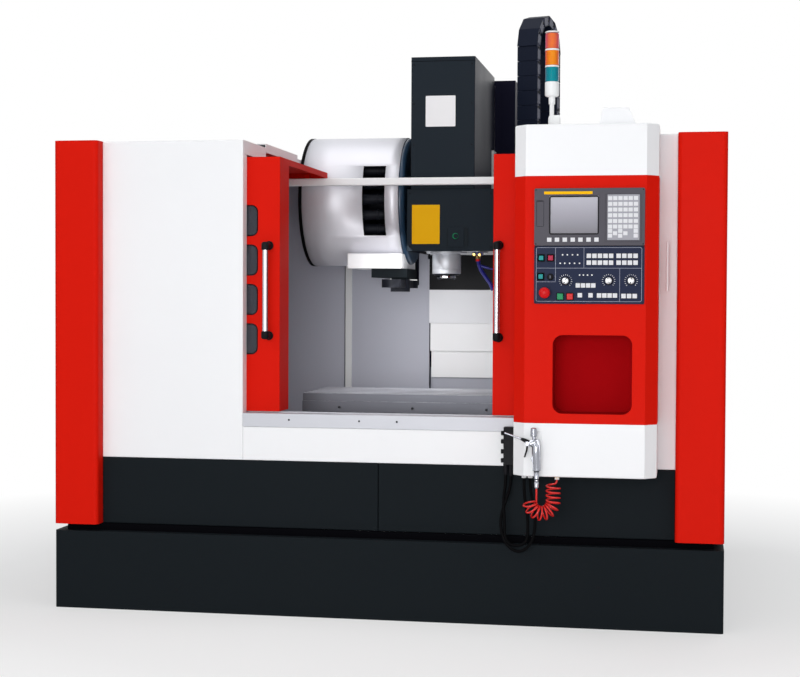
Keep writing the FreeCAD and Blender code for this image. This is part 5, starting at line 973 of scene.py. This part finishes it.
def override_knobs():
    """Black skirts with silver caps and pointers, and the printed ticks round them."""
    ticks = []
    for x, z, _ in KNOBS.values():
        for index in range(TICK_COUNT):
            angle = math.radians(-135 + 270 * index / (TICK_COUNT - 1))
            ticks.append(ray_bar(x, z, angle, TICK_FROM, TICK_TO, TICK_HALF, 0, 0.3))
    piece("dial_ticks", cells_mesh("dial_ticks", ticks, BAR_FACES), POINTER)
    for name, (x, z, turn) in KNOBS.items():
        flare = ((x, PANEL_FACE, z), OUT, [(1, 16), (2, 16.5), (6, 15.5), (7, 14)])
        shaft = ((x, PANEL_FACE + 5, z), OUT, [(0, 4), (8, 4)])
        skirt = turned(name + "_skirt", [flare, shaft], BLACK_PLASTIC, name, steps=48)
        cap = [(0, 13.2), (10, 13), (12.5, 12.2), (13.5, 10.5)]
        turned(name + "_cap", [((x, PANEL_FACE - 6, z), OUT, cap)], SILVER, name, steps=48)
        pointer = ray_bar(x, z, turn, -POINTER_REACH, POINTER_REACH, POINTER_HALF, 19.2, 20)
        piece(name + "_mark_bar", cells_mesh(name + "_mark_bar", [pointer], BAR_FACES), SEAM, name, bevel=0.4)
        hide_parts(name)


SCREEN = (706, 886, 1553, 1691)
KEYPAD = (923, 1044, 1527, 1700)
KEYPAD_COLUMNS = (933, 952, 971.5, 991, 1010, 1030)
KEYPAD_ROWS = (1686, 1664, 1642.5, 1621, 1599, 1578)
KEYPAD_LOW_ROWS = (1561.5, 1543.5)
SOFT_KEYS, SOFT_KEY_Z = (702, 731.5, 761.5, 791.7, 821, 852, 882), 1528.5
CARD_LID = (653, 680, 1579.5, 1675)
SCREW_X, PANEL_SCREW_Z, UNIT_SCREW_Z = (650, 1058), (1288, 1499), (1512, 1719)


def unit_block(name, x0, x1, z0, z1, front, back, material, bevel):
    """A block on the display unit's face, from front before it to back behind it."""
    blocks(name, [(x0, x1, UNIT_FACE - front, UNIT_FACE + back, z0, z1)], material, bevel=bevel)


def unit_keys(name, places, half_x, half_z):
    front, back = UNIT_FACE - 1.2, UNIT_FACE + 1
    spans = [(x - half_x, x + half_x, front, back, z - half_z, z + half_z) for x, z in places]
    return blocks(name, spans, KEY_GREY, bevel=0.6)


def display_details():
    """Screen bezel, keypad, soft keys, card lid, the unit's seam and the panel's screws."""
    frame_strip("screen_bezel", [SCREEN], 4.5, UNIT_FACE - 1.2, UNIT_FACE + 2, 3, BLACK_PLASTIC)
    x0, x1, z0, z1 = KEYPAD
    unit_block("keypad_plate", x0, x1, z0, z1, 0.4, 2.9, KEY_DARK, 0.3)
    unit_block("keypad_surround", x0 - 7.5, x1 + 7.5, z0 - 6.5, z1 + 1.5, -0.2, 3, UNIT_GREY, 0.3)
    first, second, third, fourth, _, last = KEYPAD_COLUMNS
    places = [(x, z) for x in KEYPAD_COLUMNS for z in KEYPAD_ROWS]
    places += [(x, z) for x in (first, last) for z in KEYPAD_LOW_ROWS]
    places += [(second, 1552.5), (fourth, 1552.5), (third, 1561.5), (third, 1543)]
    keys = unit_keys("keypad_keys", places, 8, 7.5)
    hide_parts("display_keys")
    unit_keys("soft_keys", [(x, SOFT_KEY_Z) for x in SOFT_KEYS], 8.5, 8)
    x0, x1, z0, z1 = CARD_LID
    unit_block("card_lid", x0, x1, z0, z1, 0.4, 5.5, UNIT_GREY, 0.6)
    frame_strip("card_lid_gap", [(x0 + 0.5, x1 - 0.5, z0 + 0.5, z1 - 0.5)], 1.3, UNIT_FACE - 0.25,
                UNIT_FACE, 2, SEAM, bevel=0)
    blocks("unit_seam", [(644.5, 1063.5, PANEL_FACE - 0.4, -160, 1503.5, 1506.3)], SEAM, bevel=0)
    places = [(x, PANEL_FACE, z) for x in SCREW_X for z in PANEL_SCREW_Z]
    places += [(x, UNIT_FACE, z) for x in SCREW_X for z in UNIT_SCREW_Z]
    turned("panel_screws", [(place, OUT, screw_profile(2.4, 0.8, 1.4, 1.2)) for place in places],
           BLACK_PLASTIC, steps=14)
    unit_block("unit_top_strip", 681, 866, 1702, 1713, 0.5, 0, YELLOW, 0.2)


POCKET, POCKET_ROUND, POCKET_DEPTH = (717.5, 1019.5, 860.5, 1162.5), 38, 118


def pendant_pocket():
    """The storage pocket's walls, in a darker copy of the pendant's red: painted shade of the recess."""
    outline = rounded_outline(*POCKET, POCKET_ROUND)
    count = len(outline)
    points = [at(x, PENDANT_FRONT + depth, z) for depth in (1, POCKET_DEPTH) for x, z in outline]
    faces = [(i, count + i, count + (i + 1) % count, (i + 1) % count) for i in range(count)]
    faces.append(tuple(range(count, 2 * count)))
    walls = piece("pocket_walls", mesh_from("pocket_walls", points, faces), POCKET_SHADE_RED)
    sheet(walls, 0.6, 0)


# ---- hoses and the air gun -------------------------------------------------------------------

GUN_X, GUN_Y, GUN_HOSE_END = 661, -190, 572
COIL_TUBE, COIL_RADIUS, COIL_TURN_OUT, COIL_BEND = 3.5, 26, 12, 45
COIL_TOP, COIL_DROP, COIL_SLANT, COIL_WINDINGS, COIL_STEPS = 585, 65, 12.4, 11, 16
PORT_END = 603
HOSE_RADIUS, OUTER_LENGTH, INNER_LENGTH = 6, 0.668, 0.615
HOSE_END_Y, HOSE_END_Z, HOSE_END_X = -60, 599, (600, 624)
OUTER_HOSE = [(538, 30, 596), (538, 30, 556), (522, 6, 500), (504, -20, 440), (507, -38, 378),
              (534, -46, 322), (580, -50, 300), (622, -52, 326), (642, -54, 378), (645, -56, 436),
              (638, -58, 494), (HOSE_END_X[1], HOSE_END_Y, 552), (HOSE_END_X[1], HOSE_END_Y, HOSE_END_Z)]
INNER_HOSE = [(517, 30, 600), (517, 30, 558), (511, 8, 506), (517, -18, 450), (521, -32, 396),
              (523, -38, 350), (548, -41, 327), (588, -44, 327), (613, -46, 350), (616, -50, 402),
              (613, -54, 456), (604, -58, 508), (HOSE_END_X[0], HOSE_END_Y, 556),
              (HOSE_END_X[0], HOSE_END_Y, HOSE_END_Z)]


def coil_points():
    """The coil's course: out of the port, round its own bent axis, and up to the air gun."""
    slant = math.radians(COIL_SLANT)
    heading = Vector((-math.cos(slant), -math.sin(slant), 0))
    down = Vector(DOWN)
    second = Vector((GUN_X - COIL_RADIUS, GUN_Y + COIL_TURN_OUT, COIL_TOP - COIL_DROP))
    first = second - heading * (2 * COIL_BEND) + Vector((0, 0, COIL_DROP))
    length = COIL_DROP + math.pi * COIL_BEND
    start_angle = math.pi / 2 + slant
    turns = COIL_WINDINGS + (90 + 2 * COIL_SLANT) / 360
    count = round(turns * COIL_STEPS)
    wide = COIL_RADIUS / math.cos(math.pi / COIL_STEPS)
    points = [Vector((first.x + COIL_TURN_OUT, first.y + COIL_RADIUS, z)) for z in (PORT_END, first.z + 2)]
    for index in range(1, count):
        distance = length * index / count
        if distance < COIL_DROP:
            place, direction, normal = first + down * distance, down, heading
        else:
            angle = (distance - COIL_DROP) / COIL_BEND
            outward = down * math.sin(angle) - heading * math.cos(angle)
            place = first + down * COIL_DROP + heading * COIL_BEND + outward * COIL_BEND
            direction = heading * math.sin(angle) + down * math.cos(angle)
            normal = -outward
        side = direction.cross(normal)
        angle = start_angle - 2 * math.pi * turns * index / count
        points.append(place + normal * (wide * math.cos(angle)) + side * (wide * math.sin(angle)))
    return points + [Vector((GUN_X, GUN_Y, z)) for z in (second.z - 1, GUN_HOSE_END)]


def hoses():
    """The coiled air hose and the two service hoses, each one cord."""
    course = coil_points()
    coil = pipe("red_coiled_hose", course, COIL_TUBE, HOSE_RED)
    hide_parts("coiled_air_hose")
    port = course[0]
    outer = pipe("outer_service_hose", OUTER_HOSE, HOSE_RADIUS, RUBBER)
    inner = pipe("inner_service_hose", INNER_HOSE, HOSE_RADIUS, RUBBER)
    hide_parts("service_hoses")
    nut = [(0, 8), (1, 9.4), (9, 9.4), (9.5, 12), (12, 12)]
    turned("hose_port", [((port.x, port.y, PORT_END), UP, nut)], BRASS, steps=6)


def air_gun():
    """Polished gun: swelling handle, body with its valve knob, and the nozzle in a black sleeve."""
    x, y = GUN_X, GUN_Y
    handle = [(0, 10), (2, 14.5), (20, 14.5), (40, 15), (70, 16.5), (92, 16), (102, 14), (112, 9)]
    body = [(0, 7), (3, 11), (26, 13), (34, 9)]
    turned("air_gun_handle", [((x + 1, y, 639.5), (-4, 0, 96), handle),
                              ((x - 28, y, 741), (30, 0, 14), body)], GUN_METAL)
    knob = [(0, 9), (2, 12.5), (10, 12.5), (12, 10.8), (14, 12.5), (24, 12.5), (26, 10.8), (28, 12.2),
            (32, 11), (35, 5)]
    turned("air_gun_knob", [((x - 12, y, 772), UP, knob)], GUN_METAL)
    sleeve = [(0, 7.6), (4, 8.4), (30, 7.4), (40, 6), (46, 4.5)]
    turned("air_gun_sleeve", [((x - 20, y, 746), (-44, 0, 19), sleeve)], BLACK_PLASTIC)
    nozzle = [(0, 3.6), (60, 3.3), (67, 2.2)]
    turned("air_gun_nozzle", [((x - 60, y, 763), (-64, 0, 22), nozzle)], GUN_METAL)
    coupling = [(0, 6.2), (3, 9.6), (24, 9.6), (26, 8.2), (34, 8.2), (36, 10.4), (54, 10.4), (56, 9), (66, 9)]
    turned("air_gun_coupling", [((x, y, GUN_HOSE_END + 2), UP, coupling)], GUN_METAL)
    turned("air_gun_bands", [((x, y, z), UP, [(0, radius), (3, radius), (3, 7), (0, 7)])
                             for z, radius in ((598, 9.8), (606, 9.8), (636, 11))], BLACK_PLASTIC)


REGULATOR_Y, REGULATOR_KNOBS_Z = 30, (656, 692, 732, 765)
REGULATOR_BODY, REGULATOR_FOOT = (517, 551.5, 7.5, 50, 690, 790.5), (519, 549, 9, 50, 639.5, 686)
REGULATOR_BRACKET = (539, 563.5, 29.5, 50, 689.5, 730.5)


def regulator():
    """Black filter and regulator with gauge knobs, over the pendant foot's white metal."""
    y = REGULATOR_Y
    blocks("regulator_blocks", [REGULATOR_BODY, REGULATOR_FOOT], BLACK_PLASTIC, bevel=3)
    bowl = [(0, 10.4), (20, 10.2), (26, 8), (30, 6.5)]
    turned("regulator_bowls", [((x, y, 641), DOWN, bowl) for x in (517, 538)], BLACK_PLASTIC)
    gland = [(0, 8.2), (2, 9.4), (14, 9.4), (16, 8)]
    nut = [(0, 8.4), (2, 10.3), (12, 10.3), (16.2, 9.4)]
    starts = [(hose[0], UP, gland) for hose in (INNER_HOSE, OUTER_HOSE)]
    ends = [((x, HOSE_END_Y, HOSE_END_Z), UP, nut) for x in HOSE_END_X]
    turned("hose_glands", starts + ends, BLACK_PLASTIC, steps=6)
    knob = [(0, 9.3), (9, 9.3), (12, 9.3), (17, 8), (19, 6)]
    turned("regulator_knobs", [((518, y, z), (-1, 0, 0), knob) for z in REGULATOR_KNOBS_Z], BLACK_PLASTIC,
           steps=24)
    turned("regulator_caps", [((498.4, y, z), (-1, 0, 0), [(0, 4.5), (1, 3)])
                              for z in REGULATOR_KNOBS_Z[1:3]], CHROME, steps=16)
    blocks("regulator_bracket", [REGULATOR_BRACKET], BLACK_PLASTIC)


# ---- tool magazine ---------------------------------------------------------------------------

DRUM_RADIUS, DRUM_LEFT, DRUM_RIGHT, DRUM_JOINT = 303, -575, -100, -440
DRUM_END, DOME_EDGE, DOME_ROUND, DOME_STEPS = 25, 3, 22, 8
DRUM_Y, DRUM_Z, DRUM_SKIN, DRUM_STEP_DEGREES = 1285, 1764, 4, 3
SHELF = (-351, -93, 1040, 1420, 1440, 1510)
SLOT_LEFT, SLOT_RIGHT, SLOT_LOW, SLOT_HIGH = -270, -164, 1595, 1916
EDGING_RADIUS, EDGING_STEPS = 1.8, 18
POTS, POT_CIRCLE, POT_COLLAR_X, POT_MOUTH_X = 20, 232, -214, -182.5


def drum_point(x, angle, radius):
    """A point on the drum; the angle runs up from the side that faces the operator."""
    return at(x, DRUM_Y - radius * math.cos(angle), DRUM_Z + radius * math.sin(angle))


def on_drum_axis(x, profile):
    return ((x, DRUM_Y, DRUM_Z), RIGHT, profile)


def magazine_drum():
    """The drum's skin with its viewing slot, its domed blue end and the box under it."""
    low = math.asin((SLOT_LOW - DRUM_Z) / DRUM_RADIUS)
    high = math.asin((SLOT_HIGH - DRUM_Z) / DRUM_RADIUS)
    columns = [DRUM_LEFT, DRUM_JOINT, SLOT_LEFT, SLOT_RIGHT, DRUM_RIGHT]
    angles = sorted({math.radians(a) for a in range(-180, 180, DRUM_STEP_DEGREES)} | {low, high})
    points = [drum_point(x, angle, DRUM_RADIUS) for x in columns for angle in angles]
    faces = []
    count = len(angles)
    for column in range(len(columns) - 1):
        near, far = column * count, (column + 1) * count
        for row, angle in enumerate(angles):
            if columns[column] == SLOT_LEFT and low <= angle < high:
                continue
            following = (row + 1) % count
            faces.append((near + row, near + following, far + following, far + row))
    skin = piece("magazine_drum", mesh_from("magazine_drum", points, faces), DRUM_SHEET, smooth=True)
    sheet(skin, DRUM_SKIN, -1)
    r = DRUM_RADIUS
    turned("magazine_left_end", [on_drum_axis(DRUM_LEFT, [(0, r - 6), (0.6, r - 1), (1, r - 0.5)])],
           DRUM_SHEET, steps=96)
    trim = [(0, r - 12), (0, r + 3), (2, r + 6), (16, r + 6), (18, r - 1)]
    turned("magazine_trim_ring", [on_drum_axis(DRUM_LEFT - 0.5, trim)], RUBBER, steps=96)
    dome = [(0, r - DOME_EDGE), (DOME_EDGE, r)]
    for step in range(1, DOME_STEPS + 1):
        angle = math.pi / 2 * step / DOME_STEPS
        dome.append((DOME_EDGE + DOME_ROUND * math.sin(angle), r - DOME_ROUND * (1 - math.cos(angle))))
    dome += [(DRUM_END, 60), (DRUM_END, 2)]
    turned("magazine_right_end", [on_drum_axis(DRUM_RIGHT, dome)], BLUE, steps=96)
    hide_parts("magazine_cover")
    blocks("magazine_shelf", [SHELF], WHITE, bevel=2)
    drum_screws("drum_screws", [(-406, 2.0), (-388, -51.6), (SLOT_LEFT - 5, -37.5), (SLOT_RIGHT + 9, -37.5)],
                BLACK_PLASTIC)
    drum_screws("drum_upper_screws", [(SLOT_LEFT - 6, 33.5), (SLOT_RIGHT + 10, 33.5)], GROUND)
    slot_edging(low, high)


def drum_screws(name, places, material):
    """Screws on the drum, each given by its X and its angle in degrees."""
    items = []
    for x, degrees in places:
        angle = math.radians(degrees)
        out = (0, -math.cos(angle), math.sin(angle))
        r = DRUM_RADIUS - 0.5
        items.append(((x, DRUM_Y + r * out[1], DRUM_Z + r * out[2]), out, screw_profile(6, 2, 4, 3.5)))
    turned(name, items, material, steps=16)


def slot_edging(low, high):
    """Rubber edging round the viewing slot."""
    rise = [(high - low) * i / EDGING_STEPS for i in range(EDGING_STEPS + 1)]
    course = [(SLOT_LEFT, low + way) for way in rise] + [(SLOT_RIGHT, high - way) for way in rise]
    curve = bpy.data.curves.new("viewing_slot_edging", "CURVE")
    curve.dimensions = "3D"
    curve.bevel_depth = EDGING_RADIUS * MM
    curve.bevel_resolution = 2
    spline = curve.splines.new("POLY")
    spline.points.add(len(course) - 1)
    for target, (x, angle) in zip(spline.points, course):
        target.co = (*drum_point(x, angle, DRUM_RADIUS + 0.3), 1)
    spline.use_cyclic_u = True
    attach(shown("viewing_slot_edging", curve, RUBBER), MACHINE)


def magazine_pots():
    """Sleeves and gripper studs on the magazine disc's pots; the sleeves' near-black steel is partly painted
    shade inside the drum.
    """
    rings, studs = [], []
    for index in range(POTS):
        angle = 2 * math.pi * index / POTS
        y, z = DRUM_Y + POT_CIRCLE * math.cos(angle), DRUM_Z + POT_CIRCLE * math.sin(angle)
        rings.append(((POT_COLLAR_X, y, z), RIGHT, [(0, 23), (1, 26), (10, 26), (11, 22)]))
        studs.append(((POT_MOUTH_X, y, z), RIGHT, [(0, 19), (3, 19), (3.5, 14), (8, 12)]))
    turned("pot_collars", rings, DARK_STEEL, "magazine_disc", steps=28)
    turned("pot_mouths", studs, BLACK_PLASTIC, "magazine_disc", steps=24)


# ---- head and spindle ------------------------------------------------------------------------

SPINDLE_X, SPINDLE_Y = 105, 1140
HOUSING_TOP, LABYRINTH_TOP, NOSE_TOP = 1528, 1416, 1419
DRIVE_KEY_CIRCLE, DRIVE_KEY_HALF = 33, 8
HEAD_FRONT, HOOD_HALF = 1000, 149
# Plates on the head's front: left and right edge, lower and upper edge.
FRONT_PLATE, LOWER_PLATE, BUTTON_PLATE = (25, 164, 2094, 2236), (-37, 93, 1553, 1734), (127, 226, 1542, 1626)
BUTTON_PLATE_THICK = 3
BUTTON_X, BUTTON_Z = 168, 1589
PIPE_X, PIPE_Z = SPINDLE_X + 149, 1504


def spindle():
    """Bright housing below its flange, the dark labyrinth ring and the nose with its drive keys."""
    def on_spindle(z, profile):
        return ((SPINDLE_X, SPINDLE_Y, z), DOWN, profile)

    housing = [(0, 72.9), (8, 72.9), (8.2, 94.9), (14, 94.9), (16, 92), (17, 66), (24, 66), (26, 67.5),
               (86, 67.5), (88, 66.5), (90, 67.5), (104, 67.5), (111, 66), (112, 45.5), (60, 45)]
    made = turned("spindle_housing", [on_spindle(HOUSING_TOP, housing)], SPINDLE_STEEL, "head", steps=64)
    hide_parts("spindle_cartridge")
    ring = [(0, 45), (0, 64), (2, 64), (6, 58), (6, 45.2)]
    turned("spindle_labyrinth_ring", [on_spindle(LABYRINTH_TOP, ring)], DARK_STEEL, "head", steps=64)
    taper = [(0, 40), (8, 44), (9, 44.4), (21, 44.4), (22, 43.5), (22, 22.2), (-40, 13.2), (-42, 8)]
    nose = turned("spindle_nose", [on_spindle(NOSE_TOP, taper)], CHROME, "spindle", steps=64)
    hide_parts("spindle_rotor")
    half = DRIVE_KEY_HALF
    blocks("drive_keys", [(x - half, x + half, SPINDLE_Y - half, SPINDLE_Y + half, 1389, 1398)
                          for x in (SPINDLE_X - DRIVE_KEY_CIRCLE, SPINDLE_X + DRIVE_KEY_CIRCLE)],
           DARK_STEEL, "spindle")


def head_details():
    """Bare plates, the tool release button on its cover plate, seams, screws and pipe fittings."""
    plate("head_front_plate", FRONT_PLATE, WHITE, 1.2, 4)
    plate("head_lower_plate", LOWER_PLATE, YELLOW, 1, 3)
    plate("button_cover_plate", BUTTON_PLATE, COVER_PLATE, BUTTON_PLATE_THICK, 3)
    button = [(0, 14), (3, 14), (4, 12), (7, 11.6), (8, 9)]
    turned("tool_release_button", [((BUTTON_X, HEAD_FRONT - BUTTON_PLATE_THICK, BUTTON_Z), OUT, button)],
           BUTTON_GREEN, "head", steps=32)
    left, right = SPINDLE_X - HOOD_HALF, SPINDLE_X + HOOD_HALF
    blocks("head_seams", [(left - 0.4, right + 0.4, HEAD_FRONT - 0.5, HEAD_FRONT + 2, z, z + 2)
                          for z in (1806, 2395)], SEAM, "head", bevel=0)
    places = [(x, z) for x in (left + 14, right - 14) for z in (1830, 2010, 2200, 2380)]
    places += [(x, z) for x in (left - 3, right + 77) for z in (1540, 1786)]
    turned("head_screws", [((x, HEAD_FRONT, z), OUT, screw_profile(3.5, 1.2, 2, 2)) for x, z in places],
           BLACK_PLASTIC, "head", steps=14)
    nozzle = [(0, 9), (12, 9), (14, 7)]
    turned("coolant_fittings", [((PIPE_X - 16, SPINDLE_Y - 14, PIPE_Z + 4), OUT, nozzle),
                                ((PIPE_X + 10, SPINDLE_Y - 14, PIPE_Z + 2), OUT, nozzle),
                                ((PIPE_X, SPINDLE_Y, PIPE_Z), DOWN, [(0, 12), (16, 12), (18, 10)])],
           BRASS, "head", steps=6)
    collar = [(0, 10.5), (9, 10.5), (10, 9.5)]
    turned("coolant_collar", [((PIPE_X, SPINDLE_Y, PIPE_Z - 18), DOWN, collar)], BUTTON_RED, "head", steps=24)


WALL_TOP = 1500
FOLD_LEFT = -498
RAIL_SCREWS_X, RAIL_FRONT, RAIL_SCREWS_Z = (-380, -86, 70), 50, 800


def rear_wall_fold():
    """The folded edges of the back wall, left of the column, and the screws in the sill rail."""
    blocks("wall_inner_edge", [(-73.6, -62.4, 1668, 1679, 640, WALL_TOP)], INTERIOR, bevel=0.5)
    turned("rail_screws", [((x, RAIL_FRONT, RAIL_SCREWS_Z), OUT, screw_profile(4, 1.5, 2.5, 2.2))
                           for x in RAIL_SCREWS_X], DARK_STEEL, steps=14)
    blocks("rear_wall_fold", [(FOLD_LEFT, FOLD_LEFT + 34, 1672, 1681, 700, WALL_TOP)], CAST_WHITE,
           bevel=1.5)
    blocks("rear_wall_seam", [(FOLD_LEFT - 1.5, FOLD_LEFT, 1670, 1681, 700, WALL_TOP)], SEAM, bevel=0)


# ---- order of work ---------------------------------------------------------------------------

make_camera()
hoses()
dress_nodes()
make_studio()
signal_lamp()
cable_chain()
door_details("left_door", LEFT_DOOR_EDGE, -1, LEFT_HANDLE_X)
door_details("right_door", RIGHT_DOOR_EDGE, 1, RIGHT_HANDLE_X)
panel_keys()
panel_print()
panel_buttons()
override_knobs()
display_details()
pendant_pocket()
air_gun()
regulator()
magazine_drum()
magazine_pots()
spindle()
head_details()
rear_wall_fold()
